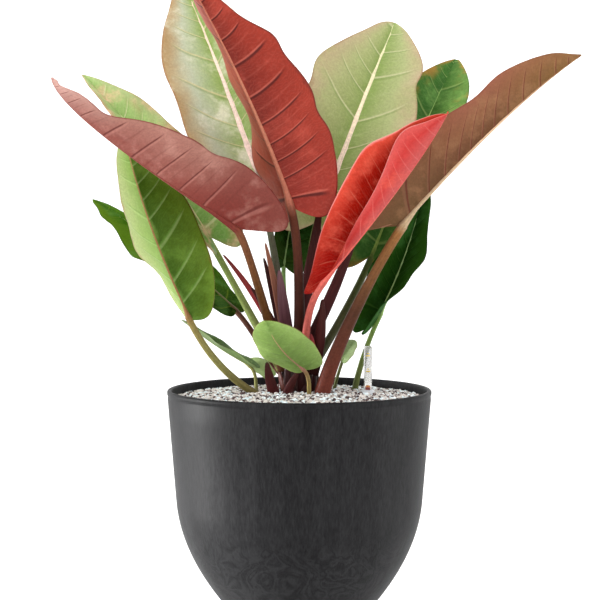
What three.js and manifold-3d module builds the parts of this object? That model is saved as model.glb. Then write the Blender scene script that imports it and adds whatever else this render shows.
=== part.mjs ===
// A potted Prince of Orange philodendron: a planter, its granules, the plant and a water gauge.
// Millimetres, +Z up. The origin is in the middle of the planter's underside.
// As the plant is looked at, +X is to the right and +Y leads away.

import * as THREE from 'three';
import { mergeVertices } from 'three/addons/utils/BufferGeometryUtils.js';
import Module from 'manifold-3d';

const wasm = await Module();
wasm.setup();

// Planter
const POT_HEIGHT = 260;
const POT_WALL = 5;
const LIP_RADIUS = 139.8;
const LIP_STEPS = 4;
const SHOULDER_RADIUS = 130.5;
const SHOULDER_HEIGHT = 145;
const BELLY_PULL = [126.5, 82];
const FOOT_PULL = [82, 32];
const FOOT_RADIUS = 50;
const POT_SIDES = 48;
const WALL_STEPS = 7;
const FLOOR = 6;
const FLOOR_RADIUS = 44;

// Granules that fill the planter
const FILL_EDGE = 249;
const FILL_MOUND = 8;
const FILL_RINGS = 7;
const GRAIN_RELIEF = 1.3;
const GRAIN_PITCH = 17;

// Clearances
const GAP = 0.3;
const HOLE_GAP = 0.35;

// Water gauge
const GAUGE_X = 72.6;
const GAUGE_Y = 2;
const TUBE_RADIUS = 4.3;
const TUBE_BORE = 3.3;
const TUBE_TOP = 305;
const TUBE_CAP = 2;
const TUBE_FOOT = 48;
const FLANGE_RADIUS = 12;
const FLANGE_RIM = 1.6;
const FLANGE_BASE = 253;
const FLANGE_HEIGHT = 9;
const FLANGE_NECK = 6;
const FLANGE_SKIRT = 12;
const FLANGE_SIDES = 16;
const FLOAT_RADIUS = 2.6;
const FLOAT_LENGTH = 46;
const FLOAT_FOOT = 52;
const NEEDLE_RADIUS = 1.2;
const NEEDLE_TIP = 264;
const TIP_RADIUS = 1.9;
const TIP_LENGTH = 9;
const FLOAT_SIDES = 10;
const GAUGE_SIDES = 12;

// Short stem that carries the leaves
const CROWN_FOOT = [-2, 2, 226];
const CROWN_TOP = [-2, 0, 302];
const CROWN_RADII = [20, 11];
const CROWN_SIDES = 14;
const CROWN_STEPS = 9;
const CROWN_SCARS = 1.4;

// Leaf build
const BLADE_THICKNESS = 1;
const BLADE_EDGE = 0.8;
const KEEL_DEPTH = 2.4;
const QUILT = 0.9;
const LOBE_SPAN = 0.42;
const STALK_SIDES = 8;
const STALK_STEPS = 9;
const STALK_LAP = 5;
const STALK_DROP = 0.4;
const SEAT_BACK = 12;
const DEGREE = Math.PI / 180;

// Leaves. foot, lean: where the stalk starts and the handle it leaves by; neck: its handle at the blade.
// rows, columns: the blade's strips along the midrib and out to each edge.
// base, tip, bow: the midrib's ends and how far it is pushed aside, furthest at the share bend of its length.
// face: where the upper side looks; twist: degrees that it has turned by at the tip.
// half: half the width; taper: how much leaner the tip half is; seat: how far the widest place moves to the base.
// fold, curl: degrees that the left and right halves rise by, at once and on the way to the edge.
// lobe: share of the length that the base lobes reach back; wave, waves, phase: the waved edge.
const LEAVES = [
  {
    name: 'red_upright', colour: 0xa03a30, rows: 14, columns: 4,
    foot: [0, -12, 284], lean: [10, -4, 60], neck: 36, radii: [6.5, 4.6],
    base: [-2, -34, 454], tip: [-110, -120, 676], bow: [2, 12, 3], bend: 0.5,
    face: [0.74, 0.67, 0], twist: 0, half: 66, taper: 1.4, seat: 1.7, fold: [30, 30], curl: [8, 8],
    lobe: 0.1, wave: 3, waves: 3, phase: 0.3,
  },
  {
    name: 'cream_upright', colour: 0xb9c089, rows: 14, columns: 4,
    foot: [-12, 6, 286], lean: [-4, 2, 70], neck: 30, radii: [5, 3.4],
    base: [-40, 30, 486], tip: [-131, 120, 706], bow: [0, -10, 6], bend: 0.5,
    face: [0.15, -0.97, 0], twist: 0, half: 64, taper: 0.4, seat: 1.5, fold: [12, 28], curl: [10, 10],
    lobe: 0.12, wave: 3, waves: 3, phase: 1.4,
  },
  {
    name: 'dusty_left', colour: 0xa86459, rows: 14, columns: 4,
    foot: [-17, -8, 280], lean: [-22, -4, 50], neck: 36, radii: [5.6, 4],
    base: [-61, -55, 429], tip: [-239, -140, 576], bow: [-3, 0, -12], bend: 0.95,
    face: [0.45, 0.3, 0.83], twist: -90, half: 58, taper: 2.5, seat: 2.5, fold: [58, 20], curl: [10, 10],
    lobe: 0.08, wave: 5, waves: 3, phase: 0.6,
  },
  {
    name: 'lime_left', colour: 0x8aa85a, rows: 14, columns: 4,
    foot: [-19, 4, 280], lean: [-24, 6, 40], neck: 30, radii: [5, 3.4],
    base: [-98, 25, 423], tip: [-236, 65, 596], bow: [4, 0, 6], bend: 0.5,
    face: [0.87, -0.5, 0], twist: 0, half: 52, taper: 0.9, seat: 1.9, fold: [15, 30], curl: [10, 10],
    lobe: 0.12, wave: 5, waves: 4, phase: 0,
  },
  {
    name: 'green_hanging', colour: 0x7fa04c, rows: 14, columns: 4,
    foot: [-36, -8, 250], lean: [-44, -6, 30], neck: 22, radii: [3.8, 3],
    base: [-113, -30, 336], tip: [-182, -20, 527], bow: [-6, -4, 0], bend: 0.5,
    face: [0.77, 0.64, 0], twist: 45, half: 46, taper: 0.6, seat: 1.25, fold: [32, 25], curl: [10, 10],
    lobe: 0.05, wave: 3, waves: 3, phase: 2,
  },
  {
    name: 'dark_left', colour: 0x4f7a3c, rows: 14, columns: 3,
    foot: [-16, 14, 272], lean: [-22, 8, 24], neck: 24, radii: [4.4, 3],
    base: [-69, 45, 342], tip: [-231, 110, 461], bow: [0, 0, 6], bend: 0.5,
    face: [0.3, -0.4, 0.78], twist: 0, half: 45, taper: 0.5, seat: 1.2, fold: [0, -18], curl: [10, 10],
    lobe: 0.05, wave: 3, waves: 3, phase: 1,
  },
  {
    name: 'small_front', colour: 0x86a85a, rows: 12, columns: 3,
    foot: [9, -25, 240], lean: [2, -8, 26], neck: 14, radii: [2.6, 2],
    base: [5, -50, 285], tip: [-33, -115, 339], bow: [-5, -3, -2], bend: 0.5,
    face: [0, 0.6, 0.8], twist: 0, half: 29, taper: 0.3, seat: 1.5, fold: [12, 12], curl: [10, 10],
    lobe: 0.1, wave: 1.5, waves: 2, phase: 0,
  },
  {
    name: 'thin_low_left', colour: 0x58703e, rows: 10, columns: 3,
    foot: [-45, 12, 240], lean: [-2, 0, 20], neck: 12, radii: [2.4, 1.8],
    base: [-51, 10, 283], tip: [-127, 35, 331], bow: [0, 0, -3], bend: 0.5,
    face: [0.5, 0, 0.85], twist: 0, half: 14, taper: 0.5, seat: 1.5, fold: [20, 20], curl: [10, 10],
    lobe: 0.1, wave: 1.5, waves: 2, phase: 0,
  },
  {
    name: 'tiny_back_left', colour: 0x8fa06a, rows: 8, columns: 2,
    foot: [-26, 48, 240], lean: [0, 0, 10], neck: 6, radii: [2, 1.5],
    base: [-32, 51, 268], tip: [-60, 66, 283], bow: [0, 0, 3], bend: 0.5,
    face: [0.3, -0.7, 0.6], twist: 0, half: 11, taper: 0.5, seat: 1.5, fold: [15, 15], curl: [10, 10],
    lobe: 0.08, wave: 0.5, waves: 2, phase: 0,
  },
  {
    name: 'cream_right', colour: 0xaebd82, rows: 14, columns: 4,
    foot: [4, 8, 290], lean: [2, 2, 60], neck: 30, radii: [5.4, 4.2],
    base: [23, 50, 440], tip: [108, 145, 661], bow: [0, -8, 4], bend: 0.5,
    face: [0, -1, 0], twist: 0, half: 67, taper: 0.25, seat: 1.5, fold: [12, 12], curl: [8, 8],
    lobe: 0.12, wave: 3, waves: 4, phase: 2.2,
  },
  {
    name: 'green_right', colour: 0x4f8a3e, rows: 14, columns: 4,
    foot: [12, 9, 280], lean: [24, 8, 34], neck: 30, radii: [5, 3.8],
    base: [82, 85, 403], tip: [183, 175, 626], bow: [0, -6, 8], bend: 0.5,
    face: [-0.1, -1, 0], twist: 0, half: 57, taper: 0.7, seat: 1.5, fold: [12, 31], curl: [8, 8],
    lobe: 0.12, wave: 3, waves: 3, phase: 0,
  },
  {
    name: 'bronze_right', colour: 0x8a5140, rows: 14, columns: 4,
    foot: [20, -15, 238], lean: [20, -4, 60], neck: 40, radii: [9, 5],
    base: [104, -30, 432], tip: [284, -70, 604], bow: [-5, 0, 5], bend: 0.65,
    face: [-0.55, 0.35, 0.75], twist: 0, half: 50, taper: 0.4, seat: 1.6, fold: [50, 50], curl: [10, 10],
    lobe: 0.15, wave: 3, waves: 3, phase: 1,
  },
  {
    name: 'scarlet_new', colour: 0xd8402f, rows: 14, columns: 6,
    foot: [7, -17, 286], lean: [-2, -8, 30], neck: 30, radii: [5, 3.6],
    base: [12, -38, 360], tip: [148, -95, 546], bow: [-4, 4, 4], bend: 0.5,
    face: [-0.3, -1, 0.1], twist: 0, half: 52, taper: 0.5, seat: 0.75, fold: [45, 20], curl: [30, 250],
    lobe: 0.02, wave: 1.5, waves: 2, phase: 0,
  },
  {
    name: 'dark_low_right', colour: 0x2f5a2c, rows: 14, columns: 3,
    foot: [57, 30, 240], lean: [6, 4, 42], neck: 20, radii: [4.2, 3.2],
    base: [86, 36, 336], tip: [137, 56, 480], bow: [4, 0, -4], bend: 0.5,
    face: [-0.75, -0.6, 0.3], twist: 80, half: 36, taper: 0.5, seat: 1.5, fold: [60, 40], curl: [10, 10],
    lobe: 0.22, wave: 2, waves: 3, phase: 0,
  },
  {
    name: 'tiny_right', colour: 0x7f9a6a, rows: 8, columns: 2,
    foot: [34, 30, 240], lean: [2, 0, 14], neck: 8, radii: [2.2, 1.7],
    base: [46, 30, 287], tip: [61, 38, 308], bow: [0, 0, 2], bend: 0.5,
    face: [-0.4, -0.8, 0.4], twist: 0, half: 10, taper: 0.5, seat: 1.5, fold: [15, 15], curl: [10, 10],
    lobe: 0.08, wave: 0.5, waves: 2, phase: 0,
  },
  {
    name: 'dark_centre', colour: 0x3c6632, rows: 12, columns: 3,
    foot: [-6, 15, 284], lean: [-6, 6, 30], neck: 20, radii: [3.6, 2.4],
    base: [-17, 62, 390], tip: [0, 100, 490], bow: [0, -3, 3], bend: 0.5,
    face: [0, -1, 0.2], twist: 0, half: 36, taper: 0.4, seat: 1.5, fold: [60, 12], curl: [10, 10],
    lobe: 0.1, wave: 2, waves: 2, phase: 0,
  },
];

// Sheaths: the pointed red scales that wrapped each leaf before it opened
const SHEATHS = [
  { name: 'left_outer', foot: [-12, -2, 290], tip: [-80, -6, 402], bow: [4, 0, 4], bend: 0.5, width: 8, depth: 3 },
  { name: 'left_inner', foot: [-15, -12, 300], tip: [-50, -22, 368], bow: [2, 0, 2], bend: 0.5, width: 7, depth: 3 },
  { name: 'mid_left', foot: [-8, 0, 294], tip: [-36, 6, 414], bow: [2, 0, 2], bend: 0.5, width: 8, depth: 3 },
  { name: 'mid_left_back', foot: [-14, 12, 300], tip: [-38, 20, 398], bow: [2, 0, 2], bend: 0.5, width: 7, depth: 3 },
  { name: 'purple', foot: [-6, -4, 294], tip: [-20, -14, 386], bow: [-2, 0, 0], bend: 0.5, width: 11, depth: 4 },
  { name: 'tall', foot: [3, -2, 294], tip: [24, 10, 458], bow: [4, 0, 0], bend: 0.5, width: 9, depth: 4 },
  { name: 'right', foot: [10, 2, 300], tip: [66, 0, 438], bow: [4, 0, -4], bend: 0.5, width: 9, depth: 4 },
  { name: 'spindle', foot: [9, -6, 278], tip: [25, -26, 352], bow: [2, -2, 0], bend: 0.5, width: 10, depth: 6 },
  { name: 'stub', foot: [14, -20, 292], tip: [12, -26, 320], bow: [1, -1, 0], bend: 0.5, width: 7, depth: 4 },
  { name: 'basal', foot: [-20, -14, 240], tip: [-34, -20, 290], bow: [-2, -1, 0], bend: 0.5, width: 13, depth: 4 },
  { name: 'basal_split', foot: [-18, -22, 240], tip: [-3, -26, 280], bow: [-2, -1, 0], bend: 0.5, width: 9, depth: 4 },
];
const SHEATH_SIDES = 8;
const SHEATH_STEPS = 6;
const SHEATH_COLOUR = 0x7a2038;

const STALK_COLOURS = {
  red_upright: 0x8a4a38, cream_upright: 0x7f8458, dusty_left: 0x8a5a40, lime_left: 0x7c8a4c,
  green_hanging: 0x8a8650, dark_left: 0x7a3030, small_front: 0x8a7a48, thin_low_left: 0x7a7a48,
  tiny_back_left: 0x8a9a60, cream_right: 0x7f8458, green_right: 0x6f7a48, bronze_right: 0xa05040,
  scarlet_new: 0xc0606a, dark_low_right: 0x7a9a50, tiny_right: 0x7a8a58, dark_centre: 0x7a9a58,
};

// Helpers

const point = (values) => new THREE.Vector3(...values);

function piece(name, geometry, colour, roughness = 0.6) {
  const material = new THREE.MeshStandardMaterial({ color: colour, roughness, metalness: 0 });
  const mesh = new THREE.Mesh(geometry, material);
  mesh.name = name;
  return mesh;
}

function toManifold(geometry) {
  const bare = geometry.clone();
  bare.deleteAttribute('normal');
  bare.deleteAttribute('uv');
  const merged = mergeVertices(bare, 1e-3);
  const vertProperties = new Float32Array(merged.attributes.position.array);
  const triVerts = new Uint32Array(merged.index.array);
  return new wasm.Manifold(new wasm.Mesh({ numProp: 3, vertProperties, triVerts }));
}

function toGeometry(solid) {
  const mesh = solid.getMesh();
  const geometry = new THREE.BufferGeometry();
  geometry.setAttribute('position', new THREE.BufferAttribute(mesh.vertProperties, 3));
  geometry.setIndex(new THREE.BufferAttribute(mesh.triVerts, 1));
  geometry.computeVertexNormals();
  return geometry;
}

// A closed body through rings of equally many points, each ring turning left as seen from the next one.
function loft(rings) {
  const count = rings[0].length;
  const corners = rings.flat();
  const faces = [];
  for (let ring = 0; ring < rings.length - 1; ring += 1) {
    for (let side = 0; side < count; side += 1) {
      const a = ring * count + side;
      const b = ring * count + ((side + 1) % count);
      faces.push(a, b, b + count, a, b + count, a + count);
    }
  }
  const last = (rings.length - 1) * count;
  for (let side = 1; side < count - 1; side += 1) {
    faces.push(0, side + 1, side);
    faces.push(last, last + side, last + side + 1);
  }
  const geometry = new THREE.BufferGeometry().setFromPoints(corners);
  geometry.setIndex(faces);
  geometry.computeVertexNormals();
  return geometry;
}

// Rings across a curve, with the half-widths that size(share) gives along the two directions across it.
function sweep(curve, steps, sides, aside, size) {
  const rings = [];
  for (let step = 0; step <= steps; step += 1) {
    const share = step / steps;
    const centre = curve.getPoint(share);
    const along = curve.getTangent(share);
    const across = point(aside).addScaledVector(along, -along.dot(point(aside))).normalize();
    const outward = along.clone().cross(across);
    const [wide, deep] = size(share);
    const ring = [];
    for (let side = 0; side < sides; side += 1) {
      const turn = (side / sides) * 2 * Math.PI;
      ring.push(centre.clone()
        .addScaledVector(across, wide * Math.cos(turn))
        .addScaledVector(outward, deep * Math.sin(turn)));
    }
    rings.push(ring);
  }
  return loft(rings);
}

// Planter

function wallRadius(height) {
  const shoulder = (LIP_RADIUS - SHOULDER_RADIUS) / (POT_HEIGHT - SHOULDER_HEIGHT);
  return SHOULDER_RADIUS + shoulder * (height - SHOULDER_HEIGHT);
}

const belly = new THREE.CubicBezierCurve(
  new THREE.Vector2(FOOT_RADIUS, 0),
  new THREE.Vector2(...FOOT_PULL),
  new THREE.Vector2(...BELLY_PULL),
  new THREE.Vector2(SHOULDER_RADIUS, SHOULDER_HEIGHT),
);

// The inside of the wall, from the floor up, drawn in from the outside by the given thickness.
function insideProfile(inset, top) {
  const profile = [];
  for (let step = 2; step <= WALL_STEPS; step += 1) {
    const share = step / WALL_STEPS;
    const place = belly.getPoint(share);
    const along = belly.getTangent(share);
    profile.push(new THREE.Vector2(place.x - along.y * inset, place.y + along.x * inset));
  }
  profile.push(new THREE.Vector2(wallRadius(top) - inset, top));
  return profile;
}

function pot() {
  const profile = [new THREE.Vector2(0, 0)];
  for (let step = 0; step <= WALL_STEPS; step += 1) {
    profile.push(belly.getPoint(step / WALL_STEPS));
  }
  const lip = POT_WALL / 2;
  const rise = POT_HEIGHT - lip;
  for (let step = 0; step < LIP_STEPS; step += 1) {
    const turn = (Math.PI * step) / LIP_STEPS;
    profile.push(new THREE.Vector2(wallRadius(rise) + lip * (Math.cos(turn) - 1), rise + lip * Math.sin(turn)));
  }
  profile.push(...insideProfile(POT_WALL, rise).reverse());
  profile.push(new THREE.Vector2(FLOOR_RADIUS, FLOOR));
  profile.push(new THREE.Vector2(0, FLOOR));
  return new THREE.LatheGeometry(profile, POT_SIDES);
}

// Granules

function fillHeight(radius) {
  return FILL_EDGE + FILL_MOUND * (1 - (radius / LIP_RADIUS) ** 2);
}

function grain(x, y) {
  const u = (2 * Math.PI * x) / GRAIN_PITCH;
  const v = (2 * Math.PI * y) / GRAIN_PITCH;
  return Math.sin(u + 0.6 * Math.sin(v)) * Math.sin(1.17 * v + 0.8 * Math.sin(0.7 * u));
}

function fill() {
  const inset = POT_WALL + GAP;
  const inside = insideProfile(inset, FILL_EDGE);
  const profile = [new THREE.Vector2(0, FLOOR + GAP)];
  profile.push(new THREE.Vector2(FLOOR_RADIUS - GAP, FLOOR + GAP));
  profile.push(...inside);
  const edge = inside.at(-1).x;
  for (let ring = FILL_RINGS - 1; ring >= 0; ring -= 1) {
    const radius = (edge * ring) / FILL_RINGS;
    profile.push(new THREE.Vector2(radius, fillHeight(radius)));
  }
  const geometry = new THREE.LatheGeometry(profile, POT_SIDES);
  geometry.rotateX(Math.PI / 2);
  const places = geometry.attributes.position;
  for (let index = 0; index < places.count; index += 1) {
    const x = places.getX(index);
    const y = places.getY(index);
    const z = places.getZ(index);
    const open = z > FILL_EDGE - 1 && Math.hypot(x, y) < edge - 1;
    places.setZ(index, open ? z + GRAIN_RELIEF * grain(x, y) : z);
  }
  return geometry;
}

// Water gauge

function turned(profile, sides = GAUGE_SIDES) {
  const geometry = new THREE.LatheGeometry(profile.map(([r, z]) => new THREE.Vector2(r, z)), sides);
  geometry.rotateX(Math.PI / 2);
  return geometry.translate(GAUGE_X, GAUGE_Y, 0);
}

function gaugeTube(grow = 0) {
  const outer = TUBE_RADIUS + grow;
  if (grow > 0) {
    return turned([[0, TUBE_FOOT - grow], [outer, TUBE_FOOT - grow], [outer, TUBE_TOP], [0, TUBE_TOP]]);
  }
  return turned([
    [TUBE_BORE, TUBE_FOOT], [outer, TUBE_FOOT], [outer, TUBE_TOP - 1], [outer - 1, TUBE_TOP],
    [0, TUBE_TOP], [0, TUBE_TOP - TUBE_CAP], [TUBE_BORE, TUBE_TOP - TUBE_CAP], [TUBE_BORE, TUBE_FOOT],
  ]);
}

function gaugeFlange(grow = 0) {
  const bore = grow > 0 ? 0 : TUBE_RADIUS + GAP;
  const skirt = FLANGE_BASE - FLANGE_SKIRT - grow;
  const brim = FLANGE_BASE + FLANGE_RIM + grow;
  return turned([
    [bore, skirt], [FLANGE_NECK + grow, skirt], [FLANGE_NECK + grow, FLANGE_BASE - grow],
    [FLANGE_RADIUS + grow, FLANGE_BASE - grow], [FLANGE_RADIUS + grow, brim],
    [FLANGE_NECK + grow, FLANGE_BASE + FLANGE_HEIGHT], [bore, FLANGE_BASE + FLANGE_HEIGHT], [bore, skirt],
  ], FLANGE_SIDES);
}

function gaugeFloat() {
  const shoulder = FLOAT_FOOT + FLOAT_LENGTH;
  return turned([
    [0, FLOAT_FOOT], [FLOAT_RADIUS, FLOAT_FOOT], [FLOAT_RADIUS, shoulder], [NEEDLE_RADIUS, shoulder + 2],
    [NEEDLE_RADIUS, NEEDLE_TIP - TIP_LENGTH], [TIP_RADIUS, NEEDLE_TIP - TIP_LENGTH + 1],
    [TIP_RADIUS, NEEDLE_TIP - 1], [0, NEEDLE_TIP],
  ], FLOAT_SIDES);
}

// Leaves

function midrib(leaf) {
  const base = point(leaf.base);
  const tip = point(leaf.tip);
  const middle = base.clone().lerp(tip, leaf.bend).addScaledVector(point(leaf.bow), 2);
  return new THREE.QuadraticBezierCurve3(base, middle, tip);
}

// The directions along the midrib, out of the upper side, and to the right of the midrib.
function directions(leaf, curve, place) {
  const along = curve.getTangent(Math.min(Math.max(place, 0), 1));
  const face = point(leaf.face);
  const up = face.addScaledVector(along, -along.dot(face)).normalize();
  up.applyAxisAngle(along, leaf.twist * DEGREE * place);
  return { along, up, right: along.clone().cross(up) };
}

// A point of the blade's middle surface. share runs round the edge from the stalk to the tip,
// and spread from -1 at the left edge over 0 at the midrib to 1 at the right edge.
function bladePoint(leaf, curve, share, spread) {
  const side = Math.sign(spread);
  const part = Math.abs(spread);
  const reach = ((1 - Math.cos(Math.PI * share)) / 2) ** leaf.seat;
  const sinus = leaf.lobe * Math.sin(Math.PI * Math.min((share + 0.02) / LOBE_SPAN, 1));
  const start = reach ** 1.2;
  const place = start + (reach - sinus - start) * (0.35 * part + 0.65 * part ** 2);
  const half = leaf.half * Math.max(Math.sin(Math.PI * share), 0) ** (1 + leaf.taper * share) + BLADE_EDGE;
  const distance = half * part;
  const round = Math.hypot(half, 0.5 * leaf.half);
  const fold = part > 0 ? leaf.fold[side < 0 ? 0 : 1] * DEGREE : 0;
  const bend = (leaf.curl[side < 0 ? 0 : 1] * DEGREE) / round;
  const tilt = fold + bend * distance;
  const aside = (Math.sin(tilt) - Math.sin(fold)) / bend;
  const lift = (Math.cos(fold) - Math.cos(tilt)) / bend;
  const { up, right } = directions(leaf, curve, place);
  const normal = up.clone().multiplyScalar(Math.cos(tilt)).addScaledVector(right, -side * Math.sin(tilt));
  const swell = leaf.wave * (distance / leaf.half) ** 2;
  const ripple = swell * Math.sin(2 * Math.PI * leaf.waves * place + leaf.phase + side);
  const centre = curve.getPoint(place)
    .addScaledVector(right, side * aside)
    .addScaledVector(up, lift)
    .addScaledVector(normal, ripple);
  return { centre, normal, start };
}

function keelDepth(leaf) {
  return KEEL_DEPTH * (leaf.half / 60);
}

// A blade with its waved edge, a keel under the midrib and a low ridge between each two side veins.
function blade(leaf) {
  const curve = midrib(leaf);
  const width = 2 * leaf.columns + 1;
  const upper = [];
  const lower = [];
  for (let row = 0; row <= leaf.rows; row += 1) {
    const crest = row % 2 ? 1 : -1;
    for (let column = -leaf.columns; column <= leaf.columns; column += 1) {
      const spread = column / leaf.columns;
      const { centre, normal, start } = bladePoint(leaf, curve, row / leaf.rows, spread);
      const inner = 4 * Math.abs(spread) * (1 - Math.abs(spread));
      centre.addScaledVector(normal, (crest * inner * QUILT * leaf.half) / 60);
      const keel = column === 0 ? keelDepth(leaf) * (1 - start) : 0;
      upper.push(centre.clone().addScaledVector(normal, BLADE_THICKNESS / 2));
      lower.push(centre.clone().addScaledVector(normal, -BLADE_THICKNESS / 2 - keel));
    }
  }
  const faces = [];
  const under = upper.length;
  for (let row = 0; row < leaf.rows; row += 1) {
    for (let column = 0; column < width - 1; column += 1) {
      const a = row * width + column;
      const b = a + 1;
      const c = a + width;
      const d = c + 1;
      faces.push(a, b, c, b, d, c);
      faces.push(under + a, under + c, under + b, under + b, under + c, under + d);
    }
  }
  const rim = [];
  for (let column = 0; column < width - 1; column += 1) rim.push(column);
  for (let row = 0; row < leaf.rows; row += 1) rim.push(row * width + width - 1);
  for (let column = width - 1; column > 0; column -= 1) rim.push(leaf.rows * width + column);
  for (let row = leaf.rows; row > 0; row -= 1) rim.push(row * width);
  for (let step = 0; step < rim.length; step += 1) {
    const a = rim[step];
    const b = rim[(step + 1) % rim.length];
    faces.push(under + a, under + b, b, under + a, b, a);
  }
  const geometry = new THREE.BufferGeometry().setFromPoints([...upper, ...lower]);
  geometry.setIndex(faces);
  geometry.computeVertexNormals();
  return geometry;
}

// A stalk rises from its foot and laps under the midrib's first few millimetres.
function stalk(leaf, grow = 0) {
  const curve = midrib(leaf);
  const { along, up } = directions(leaf, curve, 0);
  const [thick, thin] = leaf.radii;
  const drop = STALK_DROP * thin + BLADE_THICKNESS / 2 + keelDepth(leaf) + GAP;
  const end = point(leaf.base).addScaledVector(up, -drop).addScaledVector(along, STALK_LAP);
  const foot = point(leaf.foot);
  const route = new THREE.CubicBezierCurve3(
    foot, foot.clone().add(point(leaf.lean)), end.clone().addScaledVector(along, -leaf.neck), end,
  );
  const size = (share) => {
    const radius = thick + (thin - thick) * Math.min(1, 1.6 * share) + grow;
    return [radius, radius];
  };
  return sweep(route, STALK_STEPS, STALK_SIDES, [1, 0.3, 0.1], size);
}

// The block above a stalk's end that is cut away, so that the blade's keel and lobes have a flat seat.
function seatBlock(leaf) {
  const curve = midrib(leaf);
  const { along, up, right } = directions(leaf, curve, 0);
  const back = SEAT_BACK * (leaf.half / 60);
  const deep = 4 * leaf.radii[1];
  const block = new THREE.BoxGeometry(deep, back + 2 * STALK_LAP, deep);
  const rise = deep / 2 - BLADE_THICKNESS / 2 - keelDepth(leaf) - GAP;
  const centre = point(leaf.base)
    .addScaledVector(along, STALK_LAP - back / 2)
    .addScaledVector(up, rise);
  return block.applyMatrix4(new THREE.Matrix4().makeBasis(right, along, up).setPosition(centre));
}

function sheath(scale, grow = 0) {
  const foot = point(scale.foot);
  const tip = point(scale.tip);
  const middle = foot.clone().add(tip).multiplyScalar(0.5).addScaledVector(point(scale.bow), 2);
  const route = new THREE.QuadraticBezierCurve3(foot, middle, tip);
  const size = (share) => {
    const shape = 0.12 + 0.88 * Math.sqrt(Math.max(0, 1 - share ** 2)) * (0.75 + 0.25 * Math.sin(3 * share));
    return [(scale.width / 2) * shape + grow, (scale.depth / 2) * shape + grow];
  };
  return sweep(route, SHEATH_STEPS, SHEATH_SIDES, [1, 0, 0], size);
}

function crown(grow = 0) {
  const route = new THREE.LineCurve3(point(CROWN_FOOT), point(CROWN_TOP));
  const [thick, thin] = CROWN_RADII;
  const size = (share) => {
    const scar = CROWN_SCARS * Math.sin(2 * Math.PI * 4 * share);
    const radius = thick + (thin - thick) * share ** 2 + scar + grow;
    return [radius, radius * 0.94];
  };
  return sweep(route, CROWN_STEPS, CROWN_SIDES, [1, 0, 0], size);
}

// Assembly

const plant = new THREE.Group();

const potGeometry = pot();
potGeometry.rotateX(Math.PI / 2);
plant.add(piece('pot', potGeometry, 0x3a3b3d, 0.75));
plant.add(piece('gauge_tube', gaugeTube(), 0xd8dcdc, 0.25));
plant.add(piece('gauge_flange', gaugeFlange(), 0xc8cccc, 0.35));
plant.add(piece('gauge_float', gaugeFloat(), 0xc02818, 0.4));

// A stalk is cut flat below its blade, sheaths give way to stalks, and the crown gives way to both.
const stems = [];
for (const leaf of LEAVES) {
  stems.push({
    name: `stalk_${leaf.name}`,
    make: (grow) => stalk(leaf, grow),
    colour: STALK_COLOURS[leaf.name],
    seat: toManifold(seatBlock(leaf)),
  });
}
for (const scale of SHEATHS) {
  stems.push({ name: `sheath_${scale.name}`, make: (grow) => sheath(scale, grow), colour: SHEATH_COLOUR });
}
stems.push({ name: 'crown', make: crown, colour: 0x6a4a36 });

const taken = [];
for (const stem of stems) {
  let solid = toManifold(stem.make(0));
  if (stem.seat) {
    solid = solid.subtract(stem.seat);
  }
  for (const other of taken) {
    solid = solid.subtract(other);
  }
  const parts = solid.decompose();
  parts.sort((a, b) => b.volume() - a.volume());
  plant.add(piece(stem.name, toGeometry(parts[0]), stem.colour));
  taken.push(toManifold(stem.make(HOLE_GAP)));
}

let ground = toManifold(fill());
for (const hole of [...taken, toManifold(gaugeTube(HOLE_GAP)), toManifold(gaugeFlange(HOLE_GAP))]) {
  ground = ground.subtract(hole);
}
plant.add(piece('granules', toGeometry(ground), 0xc9c2b6, 0.95));

for (const leaf of LEAVES) {
  plant.add(piece(`blade_${leaf.name}`, blade(leaf), leaf.colour, 0.45));
}

export default plant;
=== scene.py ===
# A potted Prince of Orange philodendron in a charcoal planter with a water gauge.
# Metres, +Z up. The plant is looked at along +Y, with +X to the right.
# Sizes are written in millimetres and multiplied by MM where they become places.

import math
import random

import bmesh
import bpy
from mathutils import Matrix, Vector, noise


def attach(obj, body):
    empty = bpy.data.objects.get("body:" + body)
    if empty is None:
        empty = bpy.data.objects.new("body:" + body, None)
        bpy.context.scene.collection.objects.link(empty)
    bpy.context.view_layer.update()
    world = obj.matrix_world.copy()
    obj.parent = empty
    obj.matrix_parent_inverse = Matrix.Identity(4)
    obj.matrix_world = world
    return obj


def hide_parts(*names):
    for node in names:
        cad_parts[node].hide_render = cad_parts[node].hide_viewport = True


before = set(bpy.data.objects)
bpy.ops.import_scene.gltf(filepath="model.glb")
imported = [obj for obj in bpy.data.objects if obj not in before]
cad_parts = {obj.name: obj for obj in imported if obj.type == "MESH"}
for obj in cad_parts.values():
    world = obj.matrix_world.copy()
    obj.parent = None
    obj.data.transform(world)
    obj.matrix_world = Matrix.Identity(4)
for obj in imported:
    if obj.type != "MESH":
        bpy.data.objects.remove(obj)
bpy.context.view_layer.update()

# Camera
# A 100 mm lens 1.76 m in front of the planter, a little above its rim and tipped down by 2.8 degrees.
# The planter's foot falls below the picture's lower edge.
MM = 0.001
LENS = 100
SENSOR = 36
CAMERA_PLACE = (0.7 * MM, -1757 * MM, 440 * MM)
CAMERA_DIP = 2.8
scene = bpy.context.scene
camera_data = bpy.data.cameras.new("camera")
camera_data.sensor_width = SENSOR
camera_data.lens = LENS
camera_data.clip_end = 50
camera = bpy.data.objects.new("camera", camera_data)
camera.location = CAMERA_PLACE
camera.rotation_euler = (math.radians(90 - CAMERA_DIP), 0, 0)
scene.collection.objects.link(camera)
scene.camera = camera
scene.view_settings.view_transform = "Standard"

# Studio
# A round white sweep of painted board, open at the top, so that every side has the same pale ground.
# Wide soft boxes light the plant from above and both sides. Two narrow spots model the planter's dark wall.
SWEEP_FLOOR = 3.0
SWEEP_CURVE = 1.5
SWEEP_TOP = 6.0
SWEEP_STEPS = 12
SKY_STRENGTH = 0.32
SPOT_ANGLE = 13


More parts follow.
